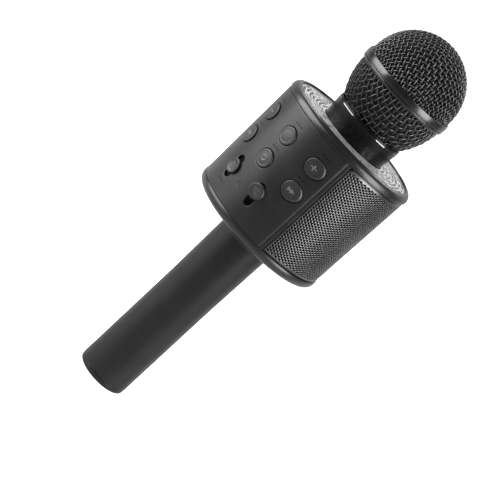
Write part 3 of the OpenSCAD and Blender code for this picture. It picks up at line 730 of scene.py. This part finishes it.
def panel_lattice(side_breaks, height_breaks, edge):
    """Lattice lines of a panel: fine at its rim and its grooves, about a millimetre elsewhere."""
    half, groove, wide = PANEL_HALF, GROOVE_ANGLE, GROOVE_HALF
    sides = [groove - 2 * wide, groove - wide, groove, groove + wide, groove + 2 * wide,
             half - (edge + HOLD) / ANGLE_R, half - edge / ANGLE_R, half - edge * 0.3 / ANGLE_R, half]
    breaks = sorted([-s for s in sides] + list(side_breaks) + sides)
    zs = spread([PANEL_LOW, PANEL_LOW + edge * 0.3, PANEL_LOW + edge, PANEL_LOW + edge + HOLD, *height_breaks,
                 PANEL_HIGH - edge - HOLD, PANEL_HIGH - edge, PANEL_HIGH - edge * 0.3, PANEL_HIGH], 1.0)
    return spread(breaks, 1 / ANGLE_R), zs, ((groove, wide, GROOVE_DEEP),)


def cell_block(us, zs, u0, u1, z0, z1):
    """First line and number of cells of the block between the given lattice lines."""
    i, i2 = (int(np.abs(us - u).argmin()) for u in (u0, u1))
    j, j2 = (int(np.abs(zs - z).argmin()) for z in (z0, z1))
    return dict(i=i, j=j, cells=(i2 - i, j2 - j))


def centre(name):
    """x and z of the middle of a CAD node."""
    return (low(name)[0] + high(name)[0]) / 2, (low(name)[2] + high(name)[2]) / 2


class MIC_OT_panels(bpy.types.Operator):
    """Control panel with holes for buttons, switches and light, and rear panel with its sockets' openings."""
    bl_idname = "mic.panels"
    bl_label = "Panels"

    def execute(self, context):
        edge = context.scene.microphone.body.edge / MM
        degrees = np.radians
        us, zs, grooves = panel_lattice(degrees([-42, -21, -8.6, -4, 4, 8.6, 21, 42]),
                                        [122.6, 125.4, 131, 139.9, 153.2, 155.5, 168.8], edge)
        holes = []
        for n in range(1, 7):
            x, z = centre(f"button_{n}")
            column = int(np.sign(round(x)))
            sides = {-1: (-42, -21), 0: (-8.6, 8.6), 1: (21, 42)}[column]
            rows = (155.5, 168.8) if n <= 3 else (139.9, 153.2)
            holes.append(dict(cell_block(us, zs, *degrees(sides), *rows), at=(x, z), half=(0, 0), round=5.1,
                              rings=rounded_rings(edge)))
        for side in (-1, 1):
            sides = sorted((side * 8.6, side * 21))
            holes.append(dict(cell_block(us, zs, *degrees(sides), 122.6, 139.9), at=(side * 10.2, 131.4),
                              half=(0, 4.6), round=2.3, rings=rounded_rings(edge)))
        holes.append(dict(cell_block(us, zs, *degrees([-4, 4]), 125.4, 131), at=(0, 128.2), half=(0, 0), round=1.25,
                          rings=rounded_rings(0.12)))
        make_piece("control_panel", "housing", ["front_panel"],
                   wall_shape(us, zs, holes, 0, 0, PANEL_T, edge, grooves))
        us, zs, grooves = panel_lattice(degrees([-42, -21, -8, 8, 21, 42]), [123.5, 140, 154, 165.8], edge)
        # seen from behind, the opening's x runs the other way
        sockets = [((-1.4, 160), (0, 0), 3.2, (154, 165.8)), ((0.33, 147), (2.1, 4.5), 0.6, (140, 154)),
                   ((0.63, 132), (0.7, 5.7), 0.5, (123.5, 140))]
        holes = [dict(cell_block(us, zs, *degrees([-8, 8]), *rows), at=at, half=core, round=corner,
                      rings=rounded_rings(0.2)) for at, core, corner, rows in sockets]
        make_piece("back_panel", "housing", ["rear_panel"],
                   wall_shape(us, zs, holes, np.pi, 0, PANEL_T, edge, grooves))
        return {"FINISHED"}


class MIC_OT_grilles(bpy.types.Operator):
    """Two perforated grilles: round holes in columns that run along the axis, each second column half a step up."""
    bl_idname = "mic.grilles"
    bl_label = "Grilles"

    def execute(self, context):
        sizes = context.scene.microphone.body
        pitch, hole_r = sizes.grille_pitch / MM, sizes.grille_hole / MM / 2
        half, fold, column = np.radians(42.65), 0.45, pitch * np.sqrt(3) / 2
        columns = int((2 * half * TOP_R - 1.1) // column)
        rows = int((PANEL_HIGH - PANEL_LOW - 1.1) / pitch - 0.5)
        start_u = -columns * column / 2 / TOP_R
        start_z = (PANEL_LOW + PANEL_HIGH) / 2 - (rows + 0.5) * pitch / 2
        us = start_u + np.arange(2 * columns + 1) * column / 2 / TOP_R
        zs = start_z + np.arange(4 * rows + 3) * pitch / 4
        us = np.concatenate([[-half], us, [half]])
        zs = np.concatenate([[PANEL_LOW], zs, [PANEL_HIGH]])
        c, r = (a.ravel() for a in np.meshgrid(np.arange(columns), np.arange(rows), indexing="ij"))
        i, j = 1 + 2 * c, 1 + 4 * r + 2 * (c % 2)
        holes = [dict(i=i, j=j, cells=(2, 4), at=(us[i + 1][:, None], zs[j + 2][:, None]), half=(0, 0), round=hole_r,
                      rings=[(1, 0.07, 0), (1, 0, 0.09)])]
        for name, turn in (("grille_left", -np.pi / 2), ("grille_right", np.pi / 2)):
            points, quads, _ = wall_shape(us, zs, holes, turn, GRILLE_RECESS, GRILLE_T, fold, along_y=False)
            u = wrapped(np.arctan2(points[:, 0], -points[:, 1]) - turn)
            z = points[:, 2]
            inside = np.minimum((half - np.abs(u)) * TOP_R, np.minimum(z - PANEL_LOW, PANEL_HIGH - z))
            depth = wall_radius(z) - GRILLE_RECESS - np.hypot(points[:, 0], points[:, 1])
            # painted shade: the folded border and the holes' own walls are marked, so that the mark colour darkens
            # them as shade would
            mark = np.maximum(np.clip((fold + 0.4 - inside) / 0.25, 0, 1), np.clip(depth / 0.09, 0, 1))
            make_piece("speaker_" + name, "housing", [name], (points, quads, mark), crease=60)
        return {"FINISHED"}


# ---- top plate ----
def stroke_distance(r, a, radius, start, end):
    """Distance from points (r, a) to an arc about the axis, or to its nearer end."""
    middle, reach = (start + end) / 2, (end - start) / 2
    off = wrapped(a - middle)
    beyond = np.clip(np.abs(off) - reach, 0, None)
    return np.hypot(r * np.cos(beyond) - radius, r * np.sin(beyond))


class MIC_OT_plate(bpy.types.Operator):
    """Silver top plate with a relief of sunk arcs, joined in pairs by round ends, and a few dots."""
    bl_idname = "mic.plate"
    bl_label = "Top plate"

    def execute(self, context):
        inner, outer, edge = 19.8, PLATE_R, 0.2
        rs = np.concatenate([[inner, inner + 0.06, inner + edge], spread([inner + edge, outer - edge], 0.2)[1:],
                             [outer - 0.06, outer]])
        a = circle(720)
        grid_a, grid_r = np.meshgrid(a, rs, indexing="ij")
        rng = np.random.default_rng(11)
        nearest = np.full(grid_r.shape, 9.0)
        tracks = np.linspace(inner + 1.9, outer - 1.9, 7)
        for k, radius in enumerate(tracks):
            turn = rng.uniform(0, 2 * np.pi)
            stop = turn + 2 * np.pi - 0.12
            while turn < stop:
                length = min(rng.choice([3.0, 7.0, 13.0, 20.0]) / radius, stop - turn)
                nearest = np.minimum(nearest, stroke_distance(grid_r, grid_a, radius, turn, turn + length))
                if k + 1 < len(tracks) and rng.random() < 0.45:     # a short spoke to the next track closes a loop
                    middle = (radius + tracks[k + 1]) / 2
                    reach = (tracks[k + 1] - radius) / 2
                    off = wrapped(grid_a - turn)
                    along = grid_r * np.cos(off) - middle
                    spoke = np.hypot(np.clip(np.abs(along) - reach, 0, None), grid_r * np.sin(off))
                    nearest = np.minimum(nearest, spoke)
                turn += length + rng.uniform(2.2, 4.0) / radius
        sunk = np.clip((0.66 - nearest) / 0.22, 0, 1)
        sunk = sunk * sunk * (3 - 2 * sunk)
        z = PLATE_HIGH - 0.3 * sunk - edge_fall(edge, np.minimum(grid_r - inner, outer - grid_r))
        top = turned(grid_r, grid_a, z)
        under_r = np.array([outer, outer - 0.1, inner + 0.1, inner])
        under_z = PLATE_LOW + np.array([0.1, 0, 0, 0.1])
        points = np.concatenate([top, turned(under_r, a[:, None], under_z)], 1)
        mark = np.concatenate([sunk, np.zeros((len(a), 4))], 1)
        make_piece("silver_plate", "housing", ["top_plate"],
                   shell(points, grid_quads(len(a), points.shape[1], True, True), mark))
        return {"FINISHED"}


# ---- neck, band, mesh and foam ----
class MIC_OT_neck(bpy.types.Operator):
    """Glossy neck collar, the head's threaded base ring and the band that clamps the two meshes."""
    bl_idname = "mic.neck"
    bl_label = "Neck and band"

    def execute(self, context):
        foot, top = low("neck_collar")[2], NECK_TOP_Z
        bore, recess, chamfer = 17.8, 18.9, 0.55
        collar = outline(
            (3, foot, 0.2), (NECK_FOOT_R, foot, 0.3), (NECK_FOOT_R, DRUM_TOP_Z, 20),
            (NECK_R, top - chamfer, 0.2), (NECK_R - 0.15, top, 0.1), (recess, top, 0.15), (recess, top - 1, 0.1),
            (bore, top - 1, 0.15), (bore, foot + 3, 0.2), (3, foot + 3, 0.2),
        )
        points, quads, _ = lathe(divided(collar, 3))
        # the narrow chamfer at the top is the marked, lacquered edge
        lip = (points[:, 2] > top - chamfer - 0.02) * (np.hypot(points[:, 0], points[:, 1]) > NECK_R - 0.3) * 1.0
        make_piece("neck", "housing", ["neck_collar"], (points, quads, lip))
        lip, bottom, height = top + 0.15, low("head_base_ring")[2], high("head_base_ring")[2]
        skirt, inner, pitch = 17.5, 15.6, 2.0
        ring = divided(outline(
            (skirt, lip, 0.1), (NECK_R - 0.2, lip, 0.2), (NECK_R - 0.2, lip + 0.9, 0.3), (skirt, lip + 0.9, 0.1),
            (skirt, height, 0.2), (inner, height, 0.2), (inner, bottom, 0.2), (skirt, bottom, 0.3),
        ), 0.28)

        def thread(profile, a):
            """A round groove that climbs one pitch a turn, fading at the skirt's two ends."""
            r, z = profile[:, 0], profile[:, 1]
            there = (r > skirt - 0.05) * (r < skirt + 0.05) * np.clip((z - bottom - 0.4) / 0.6, 0, 1)
            there = there * np.clip((lip - 0.5 - z) / 0.6, 0, 1)
            return -0.4 * there * (0.5 - 0.5 * np.cos(2 * np.pi * z / pitch - a))

        make_piece("head_ring", "head", ["head_base_ring"], lathe(ring, 192, thread))
        groove, web = 212.95, 214.1
        band = outline(
            (HEAD_R + 0.06, BAND_LOW, 0.2), (BAND_R - 0.3, BAND_LOW, 0.35), (BAND_R - 0.1, groove - 0.25, 0.3),
            (BAND_R - 0.55, groove - 0.1, 0.1), (BAND_R - 0.55, groove + 0.1, 0.1),
            (BAND_R - 0.1, groove + 0.25, 0.35),
            (BAND_R, (groove + BAND_HIGH) / 2, 9), (BAND_R - 0.25, BAND_HIGH, 0.5), (HEAD_R + 0.06, BAND_HIGH, 0.2),
            (HEAD_R + 0.06, web + 0.08, 0.02), (HEAD_R - 1.2, web + 0.08, 0.02), (HEAD_R - 1.2, web - 0.08, 0.02),
            (HEAD_R + 0.06, web - 0.08, 0.02),
        )
        make_piece("band", "head", ["head_band"], lathe(band, 256))
        return {"FINISHED"}


def dome_place(rho, a, lift):
    """Point of the upper mesh at rho from the top, along the surface: a dome, then a straight wall."""
    r0 = HEAD_R - WIRE_INSET
    beta = np.minimum(rho / r0, np.pi / 2)
    r = (r0 + lift) * np.sin(beta)
    z = DOME_Z + (r0 + lift) * np.cos(beta) - np.clip(rho - r0 * np.pi / 2, 0, None)
    return turned(r, a, z)


def bowl_place(rho, a, lift, rho_low, stretch):
    """Point of the bowl at rho from the middle of its flat blank: up along the arc from the neck."""
    big = HEAD_R + BOWL_OFFSET - WIRE_INSET
    up = np.arcsin((BOWL_Z - BOWL_LOW) / big) - (rho - rho_low) * stretch / big
    r = -BOWL_OFFSET + (big + lift) * np.cos(up)
    return turned(r, a, BOWL_Z - (big + lift) * np.sin(up))


def woven(place, inner, outer, pitch, wire, turn, shade=1.0, step=0.62, sides=6):
    """Two crossing families of wires. A flat square weave is laid over the surface: a flat point's distance from the
    middle is carried along the surface and its direction is kept. Each wire rises and falls by a cosine over two
    pitches, so it goes over one wire and under the next, and it is swept as a tube with closed ends."""
    shells = []
    crimp, reach = wire * 0.92, int(outer // pitch)
    ring = circle(sides)
    for family in (0, 1):
        for k in range(-reach, reach + 1):
            offset = k * pitch + pitch / 2
            if abs(offset) >= outer - 0.4:
                continue
            far = np.sqrt(outer**2 - offset**2)
            near = np.sqrt(inner**2 - offset**2) if abs(offset) < inner else 0
            for start, end in ([(-far, -near), (near, far)] if near else [(-far, far)]):
                if end - start < 1:
                    continue
                t = np.linspace(start, end, max(4, int((end - start) / step)))
                x, y = (t, np.full_like(t, offset)) if family == 0 else (np.full_like(t, offset), t)
                rho, a = np.hypot(x, y), np.arctan2(x, -y) + turn
                phase = np.cos(np.pi * (t / pitch - 0.5) + np.pi * (k + family))
                middle = place(rho, a, crimp * phase)
                normal = place(rho, a, 1.0) - place(rho, a, 0.0)
                along = np.gradient(middle, axis=0)
                along /= np.linalg.norm(along, axis=1)[:, None]
                side = np.cross(along, normal)
                side /= np.linalg.norm(side, axis=1)[:, None]
                up = np.cross(side, along)
                spokes = np.cos(ring)[:, None] * side[:, None] + np.sin(ring)[:, None] * up[:, None]
                tube = middle[:, None] + wire * spokes
                ends = [np.broadcast_to(middle[e], (1, sides, 3)) for e in (0, -1)]
                # painted shade: where a wire dips under its neighbour its points are marked, and the mark colour
                # darkens them; shade sets how strongly
                under = shade * np.clip(0.35 - 0.9 * phase, 0, 1)[:, None] + 0 * ring
                rings = np.concatenate([ends[0], tube, ends[1]])
                shells.append(stacked_rings(rings, np.concatenate([under[:1], under, under[-1:]])))
    return joined(shells)


class MIC_OT_meshes(bpy.types.Operator):
    """Woven wire: the dome with its straight wall, and the bowl between the band and the neck."""
    bl_idname = "mic.meshes"
    bl_label = "Woven head"

    def execute(self, context):
        sizes = context.scene.microphone.head
        wire, turn = sizes.wire / MM, sizes.weave_turn
        end = (HEAD_R - WIRE_INSET) * np.pi / 2 + DOME_Z - low("upper_mesh")[2]
        make_piece("mesh_dome", "head", ["upper_mesh"],
                   woven(dome_place, 0, end, sizes.dome_pitch / MM, wire, turn), crease=180)
        big = HEAD_R + BOWL_OFFSET - WIRE_INSET
        arc = big * (np.arcsin((BOWL_Z - BOWL_LOW) / big) + np.arcsin((high("lower_mesh")[2] - BOWL_Z) / big))
        rho_low, rho_high = 15.5, 34.0
        stretch = arc / (rho_high - rho_low)
        make_piece("mesh_bowl", "head", ["lower_mesh"],
                   woven(lambda rho, a, lift: bowl_place(rho, a, lift, rho_low, stretch), rho_low, rho_high,
                         sizes.bowl_pitch / MM, wire * 0.93, turn, shade=0.6), crease=180)
        return {"FINISHED"}


class MIC_OT_foam(bpy.types.Operator):
    """Foam liner that fills the space behind the mesh: a soft, slightly uneven shell, open at the bottom."""
    bl_idname = "mic.foam"
    bl_label = "Foam liner"

    def execute(self, context):
        outer, thick, foot = 24.75, 3.8, low("foam_liner")[2]
        beta = np.radians(np.linspace(0, 90, 60))
        dome = np.stack([outer * np.sin(beta), DOME_Z + outer * np.cos(beta)], -1)
        big = HEAD_R + BOWL_OFFSET - 1.65
        z = np.linspace(BOWL_Z, foot + 0.5, 26)
        bowl = np.stack([-BOWL_OFFSET + np.sqrt(big**2 - (z - BOWL_Z) ** 2), z], -1)
        outside = np.concatenate([dome, bowl])
        inner, back = outer - thick, beta[::-1]
        inside_dome = np.stack([inner * np.sin(back), DOME_Z + inner * np.cos(back)], -1)
        inside = np.concatenate([[[14.6, foot], [14.2, foot + 0.6], [17.5, 200]], inside_dome])
        profile = np.concatenate([outside, [[bowl[-1, 0] - 0.5, foot]], inside])
        a = circle(240)[:, None]
        s = np.arange(len(profile))[None, :]
        swell = np.zeros((240, len(profile)))
        rng = np.random.default_rng(5)
        for _ in range(14):             # low swellings with whole numbers of waves round the axis
            waves, lift, phase = rng.integers(5, 34), rng.uniform(0.1, 0.6), rng.uniform(0, 6.28)
            swell += np.sin(waves * a + lift * s + phase)
        swell *= 0.022 * np.clip(profile[:, 0] / 8, 0, 1)
        r, z = profile[:, 0] + swell, profile[:, 1] + 0 * swell
        foam = make_piece("foam", "head", ["foam_liner"],
                          shell(turned(r, a, z), grid_quads(240, len(profile), True, False)))
        return {"FINISHED"}


# ---- controls ----
def icon_height(n, x, z):
    """Raised sign of a button, from 0 to 1: plain bars, a ring, a cross or a pair of wedges."""
    def bar(cx, cz, hx, hz):
        return np.hypot(np.clip(np.abs(x - cx) - hx, 0, None), np.clip(np.abs(z - cz) - hz, 0, None)) - 0.22

    def wedge(cx, way):
        along = (x - cx) * way
        return np.maximum(np.abs(z) * 0.86 + along * 0.5 - 0.62, -along - 0.75)

    shapes = {
        1: [bar(0, 0, 1.3, 0.06)],
        2: [bar(-1.2, 0, 0.05, 0.8), bar(0, 0, 0.05, 1.35), bar(1.2, 0, 0.05, 0.6)],
        3: [bar(0, 0, 1.3, 0.06), bar(0, 0, 0.06, 1.3)],
        4: [wedge(-0.8, -1), wedge(0.9, -1)],
        5: [np.abs(np.hypot(x, z) - 1.35) - 0.24, bar(0, 0.6, 0.02, 0.9)],
        6: [wedge(0.8, 1), wedge(-0.9, 1)],
    }
    return np.clip((0.12 - np.minimum.reduce(shapes[n])) / 0.24, 0, 1)


def on_wall(x, z, height):
    """Point at x and z that stands height above the drum's wall, on the control panel's side."""
    return np.stack(np.broadcast_arrays(x, -np.sqrt((wall_radius(z) + height) ** 2 - x**2), z), -1)


def round_face(radius, fillet, rings, bends, sides):
    """Polar lattice of a round face: its angles, its radii as a column, and how far a quarter-round edge has fallen
    at each radius."""
    a = circle(sides)[None, :]
    around = np.linspace(0, np.pi / 2, bends)[1:]
    flat = np.linspace(0, radius - fillet, rings)
    rho = np.concatenate([flat, radius - fillet + fillet * np.sin(around)])[:, None]
    over = np.clip(rho - (radius - fillet), 0, fillet)
    return a, rho, fillet - np.sqrt(np.clip(fillet**2 - over**2, 0, None))


class MIC_OT_buttons(bpy.types.Operator):
    """Six domed push buttons: the face follows the wall, falls to a rounded edge and carries a raised sign."""
    bl_idname = "mic.buttons"
    bl_label = "Buttons"

    def execute(self, context):
        radius, proud, fillet, flange = 4.8, 0.9, 0.6, 5.7
        a, rho, fall = round_face(radius, fillet, 40, 7, 120)
        for n in range(1, 7):
            name = f"button_{n}"
            x0, z0 = centre(name)
            dx, dz = rho * np.cos(a), rho * np.sin(a)
            sign = icon_height(n, dx, dz)
            ledge = np.clip((rho - 3.55) / 0.25, 0, 1)      # the face is a shallow dome inside a low rim
            height = proud - 0.16 * (rho / radius) ** 2 - 0.1 * (1 - ledge) + 0.17 * sign
            face = on_wall(x0 + dx, z0 + dz, height - fall)
            flange_y = 0.4 - np.sqrt((BOTTOM_R - PANEL_T) ** 2 - (abs(x0) + flange) ** 2)
            stem = high(name)[1]
            steps = np.array([[radius, flange_y], [flange, flange_y], [flange, flange_y + 1], [1.6, flange_y + 1],
                              [1.6, stem], [0, stem]])
            r, y = steps[:, :1], np.broadcast_to(steps[:, 1:], (6, a.size))
            under = np.stack([x0 + r * np.cos(a), y, z0 + r * np.sin(a)], -1)
            mark = np.concatenate([np.broadcast_to(sign, face.shape[:2]), np.zeros((6, a.size))])
            make_piece(f"push_{name}", name, [name], stacked_rings(np.concatenate([face, under]), mark))
        return {"FINISHED"}


class MIC_OT_knobs(bpy.types.Operator):
    """Two slide switch knobs: a dished disc with grip ridges, on a stem with round ends that runs in the slot."""
    bl_idname = "mic.knobs"
    bl_label = "Slide knobs"

    def execute(self, context):
        radius, fillet, top, foot = 4.1, 0.4, 1.5, 0.4
        a, rho, fall = round_face(radius, fillet, 34, 6, 112)
        for name in ("left_knob", "right_knob"):
            x0, z0 = centre(name)
            dx, dz = rho * np.cos(a), rho * np.sin(a)
            dish = 0.32 * np.clip(1 - (rho / 3.3) ** 2, 0, 1)
            ridge = np.clip(1 - np.abs(np.mod(dz + 0.55, 1.1) - 0.55) / 0.26, 0, 1)
            ridge = ridge * (np.abs(dz) < 1.6) * np.clip((1.75 - np.abs(dx)) / 0.3, 0, 1)
            height = top - dish + 0.3 * ridge - fall
            face = on_wall(x0 + dx, z0 + dz, np.broadcast_to(height, dx.shape))
            edge = on_wall(x0 + radius * np.cos(a), z0 + radius * np.sin(a), foot)
            stem_x = 2.0 * np.cos(a)
            stem_z = 1.96 * np.sin(a) + 1.5 * np.clip(5 * np.sin(a), -1, 1)
            under = on_wall(x0 + stem_x, z0 + stem_z, foot)
            behind = high(name)[1] - 3.6
            lever_x, lever_z = (1.2 * np.clip(1.4 * f(a), -1, 1) for f in (np.cos, np.sin))
            deep = [
                np.stack(np.broadcast_arrays(x0 + px, np.full_like(a, y), z0 + pz), -1)
                for px, pz, y in ((stem_x, stem_z, behind), (lever_x, lever_z, behind),
                                  (lever_x, lever_z, behind + 3.6), (0 * a, 0 * a, behind + 3.6))
            ]
            rings = np.concatenate([face, edge, under, *deep])
            mark = np.zeros(rings.shape[:2])
            mark[: len(rho)] = ridge
            make_piece(f"slide_{name}", name, [name], stacked_rings(rings, mark))
        return {"FINISHED"}


class MIC_OT_marks(bpy.types.Operator):
    """Printed signs of plain dashes beside the controls: thin round-ended bars that lie on the wall."""
    bl_idname = "mic.marks"
    bl_label = "Printed marks"

    def execute(self, context):
        a = circle(20)[None, :]
        bars = []
        for n in range(1, 7):
            x, z = centre(f"button_{n}")
            bars += [(x - 1.7, z + 7.5, 0.7), (x + 0.2, z + 7.5, 0.45), (x + 1.9, z + 7.5, 0.55)]
        bars += [(-11.9, 122.1, 0.8), (-9.6, 122.1, 0.7), (-7.6, 122.1, 0.5), (0, 136.6, 0.05), (0, 135.4, 0.25)]
        shells = []
        for x, z, half in bars:
            across, up = 0.26 * np.cos(a) + half * np.clip(4 * np.cos(a), -1, 1), 0.26 * np.sin(a)
            steps = ((0.0, 0.03), (0.8, 0.03), (1.0, -0.05), (0.0, -0.05))
            rings = [on_wall(x + f * across, z + f * up, h) for f, h in steps]
            shells.append(stacked_rings(np.concatenate(rings)))
        make_piece("printed_dashes", "housing", [], joined(shells), slot="case_plastic", skin="printed_mark")
        return {"FINISHED"}


class MIC_OT_inner(bpy.types.Operator):
    """Finishes for the frame's own parts that stay as they are: electronics, speakers, sockets and screws."""
    bl_idname = "mic.inner"
    bl_label = "Inner parts"

    def execute(self, context):
        for name, part in frame["nodes"].items():
            part.data.materials.clear()
            part.data.materials.append(finish("basket_metal" if name == "speaker_screws" else SLOT_OF[name]))
        return {"FINISHED"}


# ---- stage ----
def soft_light(name, azimuth, distance, height, wide, tall, watts, colour):
    """A soft box that faces the microphone from the given direction, in degrees from the front towards +X."""
    data = bpy.data.lights.new(name, "AREA")
    data.shape, data.size, data.size_y, data.energy, data.color = "RECTANGLE", wide, tall, watts, colour
    lamp = bpy.data.objects.new(name, data)
    a = np.radians(azimuth)
    lamp.location = (distance * np.sin(a), -distance * np.cos(a), height)
    facing = Vector((0, 0, 0.16)) - lamp.location
    lamp.rotation_euler = facing.to_track_quat("-Z", "Y").to_euler()
    lamp.visible_camera = False
    bpy.context.scene.collection.objects.link(lamp)


class MIC_OT_stage(bpy.types.Operator):
    """Pale floor that sweeps up into a backdrop, soft lights and the camera."""
    bl_idname = "mic.stage"
    bl_label = "Stage"

    def execute(self, context):
        s = context.scene.microphone.stage
        context.scene.view_settings.view_transform = "Standard"
        # floor: a disc of 3 m whose far half sweeps up through a quarter round into a wall
        a = circle(96)[:, None]
        lift = np.clip(0.5 + 1.4 * np.cos(a - s.azimuth - np.pi), 0, 1)
        bend = np.linspace(0, np.pi / 2, 16)
        r = np.concatenate([[0, 0.3, 0.8, 1.3], 1.5 + 0.8 * np.sin(bend), [2.3]])
        z = np.concatenate([[0, 0, 0, 0], 0.8 - 0.8 * np.cos(bend), [2.2]])
        z = z[None, :] * lift
        points = turned(r, a, z).reshape(-1, 3)
        mesh = bpy.data.meshes.new("pale_sweep")
        quads = grid_quads(96, len(r), True, False)[:, ::-1]
        mesh.from_pydata(points.tolist(), [], quads.tolist())
        mesh.validate()
        mesh.shade_smooth()
        floor = bpy.data.objects.new("pale_sweep", mesh)
        context.scene.collection.objects.link(floor)
        pale = bpy.data.materials.new("pale_sweep")
        pale.use_nodes = True
        tree = pale.node_tree
        surface = tree.nodes["Principled BSDF"]
        cloth = mixed(tree, noise(tree, 6.0, 3), (0.86, 0.86, 0.86, 1), (0.89, 0.89, 0.89, 1))
        direct = node(tree, "ShaderNodeLightPath").outputs["Is Camera Ray"]
        tree.links.new(mixed(tree, direct, (0.28, 0.28, 0.28, 1), cloth), surface.inputs["Base Color"])
        # seen straight on, the sweep is even; in reflections only its far middle glows, so that dark sides stay dark
        place = node(tree, "ShaderNodeSeparateXYZ", [(0, coordinates(tree))])
        ahead_x, ahead_y = float(-np.sin(s.azimuth)), float(np.cos(s.azimuth))
        away, across = (
            maths(tree, "MULTIPLY_ADD", place.outputs[0], x, maths(tree, "MULTIPLY", place.outputs[1], y))
            for x, y in ((ahead_x, ahead_y), (ahead_y, -ahead_x))
        )
        sector = maths(tree, "SUBTRACT", maths(tree, "ADD", away, 0.25), maths(tree, "ABSOLUTE", across))
        glow = mixed(tree, remap(tree, sector, -0.2, 0.1), (0.05, 0.05, 0.05, 1), (0.55, 0.55, 0.55, 1))
        tree.links.new(mixed(tree, direct, glow, (0.9, 0.9, 0.9, 1)), surface.inputs["Emission Color"])
        surface.inputs["Emission Strength"].default_value = 1.0
        surface.inputs["Roughness"].default_value = 0.9
        surface.inputs["Specular IOR Level"].default_value = 0.1
        # from below the floor lets the underside show
        clear = node(tree, "ShaderNodeBsdfTransparent").outputs[0]
        behind = node(tree, "ShaderNodeNewGeometry").outputs["Backfacing"]
        sides = node(tree, "ShaderNodeMixShader", [(0, behind), (1, surface.outputs[0]), (2, clear)])
        tree.links.new(sides.outputs[0], tree.nodes["Material Output"].inputs["Surface"])
        mesh.materials.append(pale)
        floor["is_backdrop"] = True
        colour = tuple(s.key_colour)
        for light in LIGHTS:
            soft_light(*light, colour)
        world = bpy.data.worlds.new("studio")
        context.scene.world = world
        world.use_nodes = True
        sky = world.node_tree
        sky.nodes.clear()
        seen = node(sky, "ShaderNodeBackground", [("Color", (1, 1, 1, 1)), ("Strength", 1.0)]).outputs[0]
        felt = node(sky, "ShaderNodeBackground", [("Color", (1, 1, 1, 1)), ("Strength", 0.06)]).outputs[0]
        path = node(sky, "ShaderNodeLightPath").outputs["Is Camera Ray"]
        both = node(sky, "ShaderNodeMixShader", [(0, path), (1, felt), (2, seen)]).outputs[0]
        node(sky, "ShaderNodeOutputWorld", [("Surface", both)])
        # camera: behind the drum's middle along its own direction, rolled, and aimed a little off the middle
        az, el, roll = s.azimuth, s.elevation, s.roll
        back = np.array([np.sin(az) * np.cos(el), -np.cos(az) * np.cos(el), np.sin(el)])
        right = np.array([np.cos(az), np.sin(az), 0])
        up = np.cross(back, right)
        right, up = np.cos(roll) * right + np.sin(roll) * up, -np.sin(roll) * right + np.cos(roll) * up
        off_right, off_up = np.tan(np.radians(CAMERA_OFF))
        ahead = -back + off_right * right + off_up * up
        ahead /= np.linalg.norm(ahead)
        right = np.cross(ahead, up)
        right /= np.linalg.norm(right)
        up = np.cross(right, ahead)
        lens = bpy.data.cameras.new("camera")
        lens.lens, lens.sensor_width = s.lens, 36
        camera = bpy.data.objects.new("camera", lens)
        context.scene.collection.objects.link(camera)
        camera.matrix_world = Matrix.Translation(Vector((0, 0, CAMERA_TARGET_Z)) + Vector(back) * s.distance) @ Matrix(
            np.stack([right, up, -ahead], 1).tolist()).to_4x4()
        context.scene.camera = camera
        return {"FINISHED"}


OPERATORS = (MIC_OT_stage, MIC_OT_inner, MIC_OT_handle, MIC_OT_caps, MIC_OT_panels, MIC_OT_grilles, MIC_OT_plate,
             MIC_OT_neck, MIC_OT_meshes, MIC_OT_foam, MIC_OT_buttons, MIC_OT_knobs, MIC_OT_marks)


class MIC_PT_panel(bpy.types.Panel):
    """Lists the pieces and their sizes in the sidebar."""
    bl_idname = "MIC_PT_panel"
    bl_label = "Karaoke microphone"
    bl_space_type = "VIEW_3D"
    bl_region_type = "UI"
    bl_category = "Microphone"

    def draw(self, context):
        settings = context.scene.microphone
        for group in (settings.body, settings.head, settings.stage):
            for key in group.__annotations__:
                self.layout.prop(group, key)
        for operator in OPERATORS:
            self.layout.operator(operator.bl_idname)


CLASSES = (BodySettings, HeadSettings, StageSettings, MicrophoneSettings, *OPERATORS, MIC_PT_panel)


def register():
    for cls in CLASSES:
        bpy.utils.register_class(cls)
    bpy.types.Scene.microphone = PointerProperty(type=MicrophoneSettings)


def unregister():
    del bpy.types.Scene.microphone
    for cls in reversed(CLASSES):
        bpy.utils.unregister_class(cls)


def main():
    register()
    for operator in OPERATORS:
        getattr(bpy.ops.mic, operator.bl_idname.split(".")[1])()
    boxes = {"cad": CAD_BOX, "visual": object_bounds()}
    {key: [list(corner) for corner in box] for key, box in boxes.items()}


if __name__ == "__main__":
    main()
